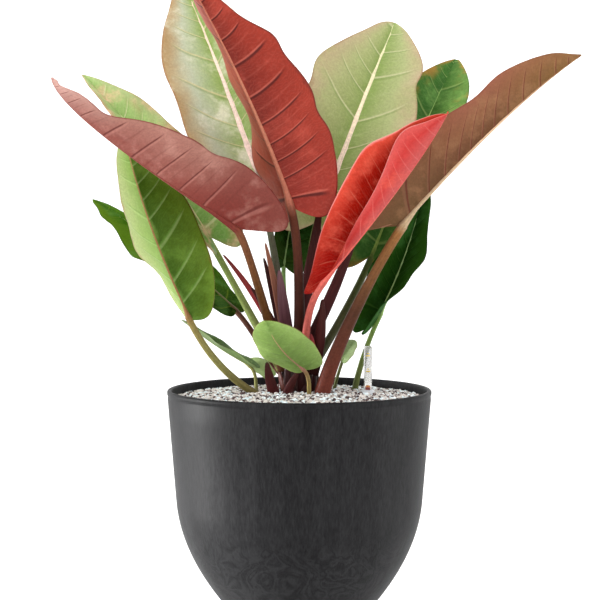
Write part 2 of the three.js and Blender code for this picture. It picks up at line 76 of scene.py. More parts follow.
def linear(code):
    """The linear colour of an sRGB hex code."""
    values = [int(code[place:place + 2], 16) / 255 for place in (1, 3, 5)]
    return tuple(v / 12.92 if v <= 0.04045 else ((v + 0.055) / 1.055) ** 2.4 for v in values) + (1,)


def feed(tree, node, inputs):
    """Sets a node's inputs, or links them to a socket or to another node's first output."""
    for socket, value in inputs.items():
        if isinstance(value, bpy.types.Node):
            value = value.outputs[0]
        if isinstance(value, bpy.types.NodeSocket):
            tree.links.new(value, node.inputs[socket])
        else:
            node.inputs[socket].default_value = value


def add(tree, kind, inputs=None, stops=None, **settings):
    """Adds a node to a material's tree, with its settings, its inputs and its colour stops."""
    node = tree.nodes.new("ShaderNode" + kind)
    for name, value in settings.items():
        setattr(node, name, value)
    feed(tree, node, inputs or {})
    if stops:
        elements = node.color_ramp.elements
        for element, (place, code) in zip(elements, (stops[0], stops[-1])):
            element.position = place
            element.color = linear(code)
        for place, code in stops[1:-1]:
            elements.new(place).color = linear(code)
    return node


def surface(name, **values):
    """A new material with one Principled shader, and its tree and shader."""
    material = bpy.data.materials.new(name)
    material.use_nodes = True
    tree = material.node_tree
    shader = tree.nodes["Principled BSDF"]
    for socket, value in values.items():
        shader.inputs[socket.replace("_", " ")].default_value = value
    return material, tree, shader


def finish_mesh(name, shape, *materials):
    """Makes an object with smooth faces from a bmesh."""
    mesh = bpy.data.meshes.new(name)
    shape.to_mesh(mesh)
    shape.free()
    mesh.shade_smooth()
    for material in materials:
        mesh.materials.append(material)
    made = bpy.data.objects.new(name, mesh)
    scene.collection.objects.link(made)
    return made


def spin(shape, profile, steps, centre=(0, 0, 0)):
    """Turns a line of (radius, height) points right round an upright axis."""
    verts = [shape.verts.new((centre[0] + r, centre[1], centre[2] + z)) for r, z in profile]
    edges = [shape.edges.new(pair) for pair in zip(verts, verts[1:])]
    bmesh.ops.spin(shape, geom=verts + edges, cent=centre, axis=(0, 0, 1), angle=2 * math.pi,
                   steps=steps, use_merge=True)
    bmesh.ops.remove_doubles(shape, verts=shape.verts[:], dist=1e-6)
    bmesh.ops.recalc_face_normals(shape, faces=shape.faces[:])


# Matt white paint, rolled on. It glows faintly, so that the ground stays an even pale white on every side.
sweep_paint, _, _ = surface("lit_white_sweep", Base_Color=linear("#e8e8e8"), Roughness=0.9,
                            Emission_Strength=0.5)
sweep = bmesh.new()
profile = [(0, 0), (SWEEP_FLOOR, 0)]
for step in range(1, SWEEP_STEPS + 1):
    turn = math.radians(90 * step / SWEEP_STEPS)
    profile.append((SWEEP_FLOOR + SWEEP_CURVE * math.sin(turn), SWEEP_CURVE * (1 - math.cos(turn))))
profile.append((SWEEP_FLOOR + SWEEP_CURVE, SWEEP_TOP))
spin(sweep, profile, 96)
bmesh.ops.reverse_faces(sweep, faces=sweep.faces[:])
finish_mesh("sweep", sweep, sweep_paint)

world = bpy.data.worlds.new("soft_sky")
world.use_nodes = True
world.node_tree.nodes["Background"].inputs["Color"].default_value = (1, 1, 1, 1)
world.node_tree.nodes["Background"].inputs["Strength"].default_value = SKY_STRENGTH
scene.world = world


def aimed(name, data, place, aim):
    """Puts a light in its place and turns it to face a point."""
    light = bpy.data.objects.new(name, data)
    light.location = place
    light.rotation_euler = (Vector(aim) - Vector(place)).to_track_quat("-Z", "Y").to_euler()
    scene.collection.objects.link(light)


def soft_box(name, place, aim, size, power):
    """A square area light that faces a point."""
    data = bpy.data.lights.new(name, "AREA")
    data.shape = "SQUARE"
    data.size = size
    data.energy = power
    aimed(name, data, place, aim)


soft_box("key", (-1.5, -1.7, 2.0), (0, 0, 0.4), 1.1, 32)
soft_box("side", (-2.2, -0.2, 0.5), (0, 0, 0.2), 1.2, 6)
soft_box("fill", (2.0, -1.5, 1.2), (0, 0, 0.4), 1.4, 6)
soft_box("top", (0.2, 0.6, 2.6), (0, 0, 0.4), 1.4, 15)


def low_spot(name, place, power):
    """A narrow spot that stands low beside the planter."""
    data = bpy.data.lights.new(name, "SPOT")
    data.energy = power
    data.spot_size = math.radians(SPOT_ANGLE)
    data.spot_blend = 0.8
    data.shadow_soft_size = 0.25
    aimed(name, data, place, (0, 0, 0.06))


low_spot("low_left", (-1.7, 0.1, 0.1), 1050)
low_spot("low_right", (1.7, -0.15, 0.1), 170)

# Planter
# A round planter 280 mm across, moulded from recycled plastic with stone powder, charcoal and matt.
# The mould's flow leaves faint paler upright streaks, which break into swirls on the bowl.
POT_HEIGHT = 260
POT_WALL = 5
LIP_RADIUS = 139.8
SHOULDER = (130.5, 145)
BELLY_PULL = (126.5, 82)
FOOT_PULL = (82, 32)
FOOT_RADIUS = 50
FLOOR = 6
FLOOR_RADIUS = 44
GROOVE = (252.5, 254)
GROOVE_DEPTH = 0.5
BELLY_STEPS = 28
# The first step of the belly that lies above the floor, where the inner wall starts.
FLOOR_STEP = 6
LIP_STEPS = 12
# The sizes of the patterns in the plastic.
FLECK = 2.083
FLOW_BAND = 16.67
SWIRL = 38.46
MOULD_GRAIN = 1.111
SWIRLS_BELOW = 165
NO_SWIRLS_ABOVE = 185


def belly(share):
    """A point of the bowl's outline, from the foot to the shoulder, and its direction."""
    ends = [Vector((FOOT_RADIUS, 0)), Vector(FOOT_PULL), Vector(BELLY_PULL), Vector(SHOULDER)]
    rest = 1 - share
    place = rest ** 3 * ends[0] + 3 * rest ** 2 * share * ends[1] + 3 * rest * share ** 2 * ends[2]
    place = place + share ** 3 * ends[3]
    along = rest ** 2 * (ends[1] - ends[0]) + 2 * rest * share * (ends[2] - ends[1])
    along = along + share ** 2 * (ends[3] - ends[2])
    return place, along.normalized()


def wall_radius(height):
    """The outside radius of the straight wall at a height."""
    return SHOULDER[0] + (LIP_RADIUS - SHOULDER[0]) * (height - SHOULDER[1]) / (POT_HEIGHT - SHOULDER[1])


lip = POT_WALL / 2
rise = POT_HEIGHT - lip
profile = [(0, 0)]
profile += [tuple(belly(step / BELLY_STEPS)[0]) for step in range(BELLY_STEPS + 1)]
profile += [(wall_radius(z), z) for z in (170, 200, 230, 251)]
profile += [(wall_radius(z) - GROOVE_DEPTH, z) for z in GROOVE]
profile.append((wall_radius(255), 255))
for step in range(LIP_STEPS + 1):
    turn = math.pi * step / LIP_STEPS
    profile.append((wall_radius(rise) + lip * (math.cos(turn) - 1), rise + lip * math.sin(turn)))
profile += [(wall_radius(z) - POT_WALL, z) for z in (245, 230, 200, 170)]
for step in range(BELLY_STEPS, FLOOR_STEP - 1, -1):
    place, along = belly(step / BELLY_STEPS)
    profile.append((place.x - along.y * POT_WALL, place.y + along.x * POT_WALL))
profile += [(FLOOR_RADIUS, FLOOR), (0, FLOOR)]
pot_shape = bmesh.new()
spin(pot_shape, [(r * MM, z * MM) for r, z in profile], 144)

# Recycled plastic filled with stone powder, moulded in one piece and left raw. It looks like dry slate,
# nearly black and without shine, with paler flecks that the flowing melt drew out upwards.
pot_stone, tree, shader = surface("moulded_stone_plastic", Roughness=0.5, Specular_IOR_Level=0.08)
coords = add(tree, "TexCoord").outputs["Object"]
height = add(tree, "SeparateXYZ", {0: coords}).outputs[2]
# Flecks 2 mm wide and about 10 mm long: the height is squeezed before the noise reads it.
drawn_out = add(tree, "Mapping", {"Vector": coords, "Scale": (1, 1, 0.2)})
flecks = add(tree, "TexNoise", {"Vector": drawn_out, "Scale": 1000 / FLECK, "Detail": 5, "Roughness": 0.75})
bands = add(tree, "TexNoise", {"Vector": drawn_out, "Scale": 1000 / FLOW_BAND, "Detail": 3,
                               "Roughness": 0.55})
# Swirls 15 to 30 mm across are the contour lines of a folded noise. They fill the bowl up to a ragged end.
folded = add(tree, "TexNoise", {"Vector": coords, "Scale": 1000 / SWIRL, "Detail": 5, "Distortion": 1.6})
contours = add(tree, "Math", {0: folded, 1: 7.0}, operation="MULTIPLY")
contours = add(tree, "Math", {0: contours, 1: 0.5}, operation="PINGPONG")
ragged = add(tree, "Math", {0: flecks, 1: 0.05, 2: height}, operation="MULTIPLY_ADD")
ragged = add(tree, "Math", {0: folded, 1: 0.08, 2: ragged}, operation="MULTIPLY_ADD")
low = add(tree, "MapRange", {0: ragged, 1: NO_SWIRLS_ABOVE * MM, 2: SWIRLS_BELOW * MM})
streaked = add(tree, "Mix", {0: 0.3, 2: flecks, 3: bands})
swirled = add(tree, "Mix", {0: low, 2: streaked, 3: contours})
swirled = add(tree, "Mix", {0: 0.6, 2: swirled, 3: streaked})
swirled = add(tree, "Math", {0: low, 1: 0.12, 2: swirled}, operation="MULTIPLY_ADD")
tone = add(tree, "ValToRGB", {0: swirled}, ((0.32, "#080809"), (0.7, "#262627")))
grain = add(tree, "TexNoise", {"Vector": coords, "Scale": 1000 / MOULD_GRAIN, "Detail": 2})
bump = add(tree, "Bump", {"Strength": 0.25, "Distance": 0.4 * MM, "Height": grain})
feed(tree, shader, {"Base Color": tone, "Normal": bump})
pot = finish_mesh("planter_shell", pot_shape, pot_stone)
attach(pot, "plant")
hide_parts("pot")

# Granules
# Crushed pumice, zeolite and lava, 3 to 5 mm, poured in loose and heaped a little towards the plant.
# A dark bed closes the gaps between the top grains. Its dark brown is painted shade: the shade that falls
# between the grains.
FILL_EDGE = 249
FILL_MOUND = 8
FILL_RADIUS = 133.2
GRAIN_STEP = 3.35
ROW_PITCH = 0.87
GRAIN_JITTER = 0.3
GRAIN_RADII = (1.7, 2.7)
GRAIN_DENT = 0.28
BED_GAP = 0.4
BED_DEPTH = 2.2
BED_MOTTLE = 2.5


def fill_height(radius):
    """The height of the heap at a distance from the planter's axis."""
    return FILL_EDGE + FILL_MOUND * (1 - (radius / LIP_RADIUS) ** 2)


bed_shape = bmesh.new()
bed_profile = [(0, FLOOR + 0.5), (FLOOR_RADIUS - 1, FLOOR + 0.5)]
for step in range(FLOOR_STEP, BELLY_STEPS + 1):
    place, along = belly(step / BELLY_STEPS)
    bed_profile.append((place.x - along.y * (POT_WALL + BED_GAP), place.y + along.x * (POT_WALL + BED_GAP)))
bed_profile.append((FILL_RADIUS, FILL_EDGE - 3))
bed_profile += [(r, fill_height(r) - BED_DEPTH) for r in (133, 120, 100, 80, 60, 40, 20, 0)]
spin(bed_shape, [(r * MM, z * MM) for r, z in bed_profile], 96)
# The granules under the top layer, drawn as one dry, matt bed of mottled brown.
# Its darkness is painted shade, standing in for the shade in the gaps between the top grains.
painted_gap_shade_bed, tree, shader = surface("granule_bed_painted_shade", Roughness=0.95)
coords = add(tree, "TexCoord").outputs["Object"]
bed_mottle = add(tree, "TexNoise", {"Vector": coords, "Scale": 1000 / BED_MOTTLE, "Detail": 3})
feed(tree, shader, {"Base Color": add(tree, "ValToRGB", {0: bed_mottle}, ((0, "#2a1d1c"), (1, "#7d6a60")))})
bed = finish_mesh("granule_bed", bed_shape, painted_gap_shade_bed)
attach(bed, "plant")
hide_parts("granules")


def mineral(name, dark, light, size_mm):
    """A crushed porous stone. Its broken faces are dry and matt, and no two grains have the same tone."""
    material, tree, shader = surface(name, Roughness=0.9)
    coords = add(tree, "TexCoord").outputs["Object"]
    patches = add(tree, "TexNoise", {"Vector": coords, "Scale": 1000 / size_mm, "Detail": 2})
    feed(tree, shader, {"Base Color": add(tree, "ValToRGB", {0: patches}, ((0.3, dark), (0.7, light)))})
    return material


MINERALS = {
    "pumice": (mineral("cream_pumice", "#a29a93", "#e8e2dc", 4), 0.5),
    "zeolite": (mineral("pale_zeolite", "#c0d4da", "#f8fbfb", 4), 0.23),
    "lava": (mineral("maroon_lava", "#2e2224", "#66524f", 4), 0.27),
}
chance = random.Random(7)
grains = {name: bmesh.new() for name in MINERALS}
stone = bmesh.new()
bmesh.ops.create_icosphere(stone, subdivisions=1, radius=1)
stone_corners = [corner.co.copy() for corner in stone.verts]
stone_faces = [[corner.index for corner in face.verts] for face in stone.faces]
stone.free()
rows = int(FILL_RADIUS / (ROW_PITCH * GRAIN_STEP)) + 1
for row in range(-rows, rows + 1):
    for column in range(-rows, rows + 1):
        x = (column + 0.5 * (row % 2) + chance.uniform(-GRAIN_JITTER, GRAIN_JITTER)) * GRAIN_STEP
        y = (row * ROW_PITCH + chance.uniform(-GRAIN_JITTER, GRAIN_JITTER)) * GRAIN_STEP
        radius = math.hypot(x, y)
        if radius > FILL_RADIUS - 1.2:
            continue
        name = chance.choices(list(MINERALS), [share for _, share in MINERALS.values()])[0]
        size = chance.uniform(*GRAIN_RADII) * MM
        scale = Matrix.Diagonal((chance.uniform(0.8, 1.2) * size, chance.uniform(0.8, 1.2) * size,
                                 chance.uniform(0.6, 0.95) * size, 1))
        turn = Matrix.Rotation(chance.uniform(0, math.tau), 4, Vector([chance.gauss(0, 1) for _ in range(3)]))
        z = fill_height(radius) + chance.uniform(-1.4, 0.6)
        place = Matrix.Translation(Vector((x, y, z)) * MM) @ turn @ scale
        corners = [grains[name].verts.new(place @ corner) for corner in stone_corners]
        for face in stone_faces:
            grains[name].faces.new([corners[index] for index in face])
for name, shape in grains.items():
    for vert in shape.verts:
        vert.co += Vector([chance.uniform(-GRAIN_DENT, GRAIN_DENT) * MM for _ in range(3)])
    made = finish_mesh(f"granules_{name}", shape, MINERALS[name][0])
    made.data.shade_flat()
    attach(made, "plant")
    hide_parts("granules")

# Water gauge
# A capped clear tube stands in the granules on a conical flange, with yellow marks for low and high water.
# Inside it a red-tipped needle rises on a float. All of it is moulded polystyrene.
GAUGE = (72.6 * MM, 2 * MM, 0)
TUBE_RADIUS = 4.3
TUBE_BORE = 3.3
TUBE_TOP = 305
TUBE_FOOT = 48
FLANGE_BASE = 253
TUBE_LID = 2
MARKS = ((295.2, 1.1, 56), (278.7, 1.1, 60), (297.6, 0.7, 34), (281.1, 0.7, 34))
MARK_THICKNESS = 0.05
FLOAT_FOOT = 52
FLOAT_TOP = 98
ROD_RADIUS = 1.2
NEEDLE_FOOT = 256
NEEDLE_TIP = 264
CLEAR_UP_TO = 264
HAZY_FROM = 270


def gauge_piece(name, profile, material, body, node, steps=48):
    """Spins a profile in millimetres round the gauge's axis and puts it in its place."""
    shape = bmesh.new()
    spin(shape, [(r * MM, z * MM) for r, z in profile], steps, GAUGE)
    made = finish_mesh(name, shape, material)
    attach(made, body)
    if node:
        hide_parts(node)
    return made


# Clear polystyrene, injection-moulded and fogged by handling. It is a pale grey haze above the granules, and
# clearer at its foot, where the needle stands at rest.
clear, tree, shader = surface("clear_polystyrene", Base_Color=linear("#e6e6e4"), Roughness=0.1, IOR=1.08)
height = add(tree, "SeparateXYZ", {0: add(tree, "TexCoord").outputs["Object"]}).outputs[2]
haze = add(tree, "MapRange", {0: height, 1: CLEAR_UP_TO * MM, 2: HAZY_FROM * MM, 3: 0.97, 4: 0.8})
feed(tree, shader, {"Transmission Weight": haze})
# Milky polystyrene, injection-moulded. It has a soft shine and lets a little light through.
frosted, _, _ = surface("milky_polystyrene", Base_Color=linear("#d9dbe0"), Roughness=0.3, IOR=1.5,
                        Transmission_Weight=0.35)
gauge_piece("gauge_tube_clear", [
    (TUBE_BORE, TUBE_FOOT), (TUBE_RADIUS, TUBE_FOOT), (TUBE_RADIUS, TUBE_TOP - 1.2),
    (TUBE_RADIUS - 0.4, TUBE_TOP - 0.4), (TUBE_RADIUS - 1.2, TUBE_TOP), (0, TUBE_TOP),
    (0, TUBE_TOP - TUBE_LID), (TUBE_BORE, TUBE_TOP - TUBE_LID), (TUBE_BORE, TUBE_FOOT),
], clear, "plant", "gauge_tube")
gauge_piece("gauge_flange_cone", [
    (4.6, FLANGE_BASE - 12), (6, FLANGE_BASE - 12), (6, FLANGE_BASE), (11.6, FLANGE_BASE),
    (12, FLANGE_BASE + 0.5), (12, FLANGE_BASE + 1.3), (11.4, FLANGE_BASE + 1.8),
    (8, FLANGE_BASE + 3.4), (6, FLANGE_BASE + 5.4), (5.4, FLANGE_BASE + 5.9),
    (4.6, FLANGE_BASE + 5.9), (4.6, FLANGE_BASE - 12),
], frosted, "plant", "gauge_flange")

# Printed ink, thin and half matt, in a warm yellow.
mark_paint, _, _ = surface("yellow_print", Base_Color=linear("#d8b428"), Roughness=0.5)
marks_shape = bmesh.new()
for height, tall, sweep_angle in MARKS:
    start = math.radians(-90 - sweep_angle / 2)
    spot = Vector((math.cos(start), math.sin(start), 0)) * (TUBE_RADIUS + 0.06) * MM + Vector(GAUGE)
    heights = (height - tall / 2, height + tall / 2)
    ends = [marks_shape.verts.new(spot + Vector((0, 0, z * MM))) for z in heights]
    edge = marks_shape.edges.new(ends)
    bmesh.ops.spin(marks_shape, geom=ends + [edge], cent=GAUGE, axis=(0, 0, 1),
                   angle=math.radians(sweep_angle), steps=14)
bmesh.ops.solidify(marks_shape, geom=marks_shape.faces[:], thickness=MARK_THICKNESS * MM)
bmesh.ops.recalc_face_normals(marks_shape, faces=marks_shape.faces[:])
marks = finish_mesh("gauge_marks", marks_shape, mark_paint)
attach(marks, "plant")

# Foamed polystyrene, moulded from beads: white and matt.
white_float, _, _ = surface("white_foamed_polystyrene", Base_Color=linear("#ece8dc"), Roughness=0.6)
# A white rod whose end was dipped twice, in red and then in orange lacquer, which gives it a soft shine.
red_tip, tree, shader = surface("red_dipped_needle", Roughness=0.35)
height = add(tree, "SeparateXYZ", {0: add(tree, "TexCoord").outputs["Object"]}).outputs[2]
dipped = add(tree, "MapRange", {0: height, 1: NEEDLE_FOOT * MM, 2: NEEDLE_TIP * MM})
tone = add(tree, "ValToRGB", {0: dipped}, ((0, "#e9e4d6"), (0.05, "#8c0a08"), (0.72, "#e0922a")))
tone.color_ramp.interpolation = "CONSTANT"
feed(tree, shader, {"Base Color": tone})
gauge_piece("gauge_float_body", [
    (0, FLOAT_FOOT), (2.2, FLOAT_FOOT), (2.6, FLOAT_FOOT + 0.6), (2.6, FLOAT_TOP - 0.6), (2.2, FLOAT_TOP),
    (ROD_RADIUS, FLOAT_TOP + 2), (ROD_RADIUS, 200), (0, 200),
], white_float, "float", "gauge_float", 24)
gauge_piece("gauge_needle", [
    (0, 199.8), (ROD_RADIUS, 199.8), (ROD_RADIUS, NEEDLE_FOOT), (2.4, NEEDLE_FOOT + 1),
    (2.8, NEEDLE_FOOT + 1.8), (2.8, NEEDLE_TIP - 1.6), (1.8, NEEDLE_TIP - 0.3), (0, NEEDLE_TIP),
], red_tip, "float", "gauge_float", 24)

# Crown
# The plant's short thick stem, brown and woody, ringed by the scars of fallen leaves.
# Dry sheath fibres run up it.
CROWN_FOOT = Vector((-2, 2, 226))
CROWN_TOP = Vector((-2, 0, 302))
CROWN_RADII = (20, 11)
CROWN_STEPS = 110
CROWN_SIDES = 56
SCARS = 4
SCAR_SWELL = 1.4
FIBRE = 1.43


def sweep_rings(shape, rings, uv_rows=None):
    """Skins a list of closed rings and caps both ends."""
    uv = shape.loops.layers.uv.verify()
    rows = [[shape.verts.new(spot * MM) for spot in ring] for ring in rings]
    count = len(rows[0])
    for index, (low, high) in enumerate(zip(rows, rows[1:])):
        for side in range(count):
            after = (side + 1) % count
            face = shape.faces.new((low[side], low[after], high[after], high[side]))
            if uv_rows:
                ends = (uv_rows[index], uv_rows[index], uv_rows[index + 1], uv_rows[index + 1])
                turns = (side / count, (side + 1) / count, (side + 1) / count, side / count)
                for loop, turn, rise in zip(face.loops, turns, ends):
                    loop[uv].uv = (turn, rise)
    shape.faces.new(list(reversed(rows[0])))
    shape.faces.new(rows[-1])
    bmesh.ops.recalc_face_normals(shape, faces=shape.faces[:])


def ring_at(centre, along, aside, wide, deep, sides):
    """Points round an ellipse across a direction."""
    across = (aside - along * along.dot(aside)).normalized()
    outward = along.cross(across)
    turns = [math.tau * side / sides for side in range(sides)]
    return [centre + across * wide * math.cos(turn) + outward * deep * math.sin(turn) for turn in turns]


# Corky bark with dried fibres, grown and weathered: dull dark brown, with fine upright streaks.
woody, tree, shader = surface("woody_ringed_stem", Roughness=0.85)
coords = add(tree, "TexCoord").outputs["Object"]
drawn_out = add(tree, "Mapping", {"Vector": coords, "Scale": (1, 1, 0.15)})
fibres = add(tree, "TexNoise", {"Vector": drawn_out, "Scale": 1000 / FIBRE, "Detail": 4})
tone = add(tree, "ValToRGB", {0: fibres}, ((0.3, "#1c0c0a"), (0.75, "#4c2a22")))
bump = add(tree, "Bump", {"Strength": 0.6, "Distance": 1.2 * MM, "Height": fibres})
feed(tree, shader, {"Base Color": tone, "Normal": bump})
rings = []
for step in range(CROWN_STEPS + 1):
    share = step / CROWN_STEPS
    centre = CROWN_FOOT.lerp(CROWN_TOP, share)
    radius = CROWN_RADII[0] + (CROWN_RADII[1] - CROWN_RADII[0]) * share ** 2
    radius += SCAR_SWELL * math.sin(math.tau * SCARS * share)
    ring = ring_at(centre, Vector((0, 0, 1)), Vector((1, 0, 0)), radius, radius * 0.94, CROWN_SIDES)
    for spot in ring:
        out = (spot - centre).normalized()
        spot += out * 0.9 * noise.noise(Vector((out.x * 5, out.y * 5, spot.z * 0.09)))
        spot += out * 0.5 * noise.noise(Vector((out.x * 2, out.y * 2, spot.z * 0.9)))
    rings.append(ring)
crown_shape = bmesh.new()
sweep_rings(crown_shape, rings)
crown = finish_mesh("crown_stem", crown_shape, woody)
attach(crown, "plant")
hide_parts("crown")

# Sheaths
# Pointed scales that wrapped each leaf before it opened, drying from plum red to maroon brown.
# They stand round the leaf stalks, grown on the crown, and are channelled along their inner side.
SHEATH_STEPS = 56
SHEATH_SIDES = 24
# The corners of a ring that form its inner face, from the first to one past the last.
INNER_CORNERS = (3, 10)
# Each has its skin, foot, tip, bow, width and depth.
SHEATHS = {
    "left_outer": ("crimson", (-12, -2, 290), (-80, -6, 402), (4, 0, 4), 8, 3),
    "left_inner": ("maroon", (-15, -12, 300), (-50, -22, 368), (2, 0, 2), 9, 3),
    "mid_left": ("brown", (-12, 0, 294), (-36, 6, 414), (1, 0, 2), 9, 3),
    "mid_left_back": ("maroon", (-16, 12, 300), (-38, 20, 398), (1, 0, 2), 9, 3),
    "purple": ("mauve", (-8, -4, 294), (-21, -14, 386), (-1, 0, 0), 14, 4),
    "tall": ("maroon", (-6, -8, 294), (23, 2, 460), (1, 0, -2), 15, 5),
    "right": ("maroon", (3, -4, 296), (65, 0, 441), (2, 0, -4), 13, 4),
    "spindle": ("maroon", (15, -10, 276), (24, -26, 356), (2, -2, 0), 13, 6),
    "stub": ("crimson", (14, -20, 292), (12, -26, 320), (1, -1, 0), 7, 4),
    "basal": ("maroon", (-20, -14, 240), (-34, -20, 290), (-2, -1, 0), 13, 4),
    "basal_split": ("maroon", (-18, -22, 240), (-1, -26, 281), (-2, -1, 0), 11, 4),
}


def quadratic(start, pull, end, share):
    """A point on a curve with one handle."""
    rest = 1 - share
    return start * rest ** 2 + pull * 2 * rest * share + end * share ** 2


def quadratic_way(start, pull, end, share):
    """The direction along a curve with one handle."""
    return ((pull - start) * (1 - share) + (end - pull) * share).normalized()


def scale_skin(name, foot, middle, tip):
    """A leaf skin that dried on the plant: ribbed along its length, half matt, changing to its tip."""
    material, tree, shader = surface(name, Roughness=0.5, Specular_IOR_Level=0.12)
    way = add(tree, "UVMap", uv_map="UVMap")
    length = add(tree, "SeparateXYZ", {0: way}).outputs[1]
    tone = add(tree, "ValToRGB", {0: length}, ((0, foot), (0.45, middle), (1, tip)))
    # About 40 ribs round a scale, drawn out along it.
    drawn_out = add(tree, "Mapping", {"Vector": way, "Scale": (1, 0.06, 1)})
    ribs = add(tree, "TexNoise", {"Vector": drawn_out, "Scale": 40, "Detail": 3})
    shade = add(tree, "MapRange", {0: ribs, 1: 0.3, 2: 0.7, 3: 0.65, 4: 1.2})
    mixed = add(tree, "Mix", {0: 1.0, 6: tone, 7: shade}, data_type="RGBA", blend_type="MULTIPLY").outputs[2]
    bump = add(tree, "Bump", {"Strength": 0.4, "Distance": 0.6 * MM, "Height": ribs})
    feed(tree, shader, {"Base Color": mixed, "Normal": bump})
    return material


scale_skins = {
    "maroon": scale_skin("dark_maroon_scale", "#2a0c0c", "#3c1212", "#3a1814"),
    "crimson": scale_skin("crimson_scale", "#3a0e10", "#7c2426", "#702828"),
    "mauve": scale_skin("mauve_scale", "#2c1014", "#4c2a30", "#6e4c52"),
    "brown": scale_skin("dry_brown_scale", "#4a2018", "#6e4032", "#94604a"),
}
for name, (skin, foot, tip, bow, width, depth) in SHEATHS.items():
    foot, tip, bow = Vector(foot), Vector(tip), Vector(bow)
    pull = (foot + tip) / 2 + bow * 2
    rings = []
    for step in range(SHEATH_STEPS + 1):
        share = step / SHEATH_STEPS
        fall = math.sqrt(max(0, 1 - share ** 2))
        full = 0.12 + 0.88 * fall * (0.75 + 0.25 * math.sin(3 * share))
        centre = quadratic(foot, pull, tip, share)
        along = quadratic_way(foot, pull, tip, share)
        ring = ring_at(centre, along, Vector((1, 0, 0)), width / 2 * full, depth / 2 * full, SHEATH_SIDES)
        # The inner face is drawn in along its middle, so that the scale is channelled.
        inward = (sum(ring, Vector()) / SHEATH_SIDES - ring[SHEATH_SIDES // 4]).normalized()
        for side in range(*INNER_CORNERS):
            ring[side] += inward * depth * 0.32 * full * math.sin(math.pi * (side - 2) / 8)
        rings.append(ring)
    shape = bmesh.new()
    shape.loops.layers.uv.new("UVMap")
    sweep_rings(shape, rings, [step / SHEATH_STEPS for step in range(SHEATH_STEPS + 1)])
    made = finish_mesh(f"scale_{name}", shape, scale_skins[skin])
    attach(made, "plant")
    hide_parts(f"sheath_{name}")

# Old scales
# Short broken scales of fallen leaves still wrap the crown. They are dry, curled and dark maroon to brown.
# Each one starts inside the crown's bark and leans a little outwards.
OLD_SCALES = 26
OLD_SCALE_STEPS = 14
OLD_SCALE_SIDES = 12
OLD_SCALE_DEPTH = 1.1
LEAF_TURN = 0.382
shapes = {"maroon": bmesh.new(), "brown": bmesh.new()}
for index in range(OLD_SCALES):
    turn = math.tau * index * LEAF_TURN
    height = 232 + 46 * index / OLD_SCALES
    reach = 17 - 7 * index / OLD_SCALES
    out = Vector((math.cos(turn), math.sin(turn), 0))
    aside = Vector((-out.y, out.x, 0))
    foot = Vector((-2, 1, height)) + out * reach
    tip = foot + out * chance.uniform(3, 8) + Vector((0, 0, chance.uniform(26, 44)))
    tip += aside * chance.uniform(-8, 8)
    pull = (foot + tip) / 2 + out * 4
    width = chance.uniform(9, 14)
    rings = []
    for step in range(OLD_SCALE_STEPS + 1):
        share = step / OLD_SCALE_STEPS
        full = 0.1 + 0.9 * math.sqrt(1 - share ** 2)
        centre = quadratic(foot, pull, tip, share)
        along = quadratic_way(foot, pull, tip, share)
        ring = ring_at(centre, along, aside, width / 2 * full, OLD_SCALE_DEPTH * full, OLD_SCALE_SIDES)
        rings.append([spot - out * 0.05 * (spot - centre).dot(aside) ** 2 for spot in ring])
    lengths = [step / OLD_SCALE_STEPS for step in range(OLD_SCALE_STEPS + 1)]
    sweep_rings(shapes["brown" if index % 4 == 0 else "maroon"], rings, lengths)
for name, shape in shapes.items():
    made = finish_mesh(f"old_scales_{name}", shape, scale_skins[name])
    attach(made, "plant")
    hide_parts("crown")

# Leaves
# Sixteen living leaves, each grown on a fleshy stalk that runs on as the midrib of its blade.
# A blade is soft and waxy, sunken along its side veins on the upper side and puffed between them.
BLADE_THICKNESS = 0.8
EDGE = 0.8
LOBE_SPAN = 0.42
PHASES = 32
FRAMES = 2000
STALK_SIDES = 18
STALK_STEPS = 60
RIB_STEPS = 90
# The sizes of the clouds and cells of a blade, and of the specks of a stalk.
CLOUD = 22.22
CELL = 2.381
SPECK = 2.632


def ease(share):
    """Rises smoothly from 0 to 1 while the share does."""
    share = min(1, max(0, share))
    return share * share * (3 - 2 * share)
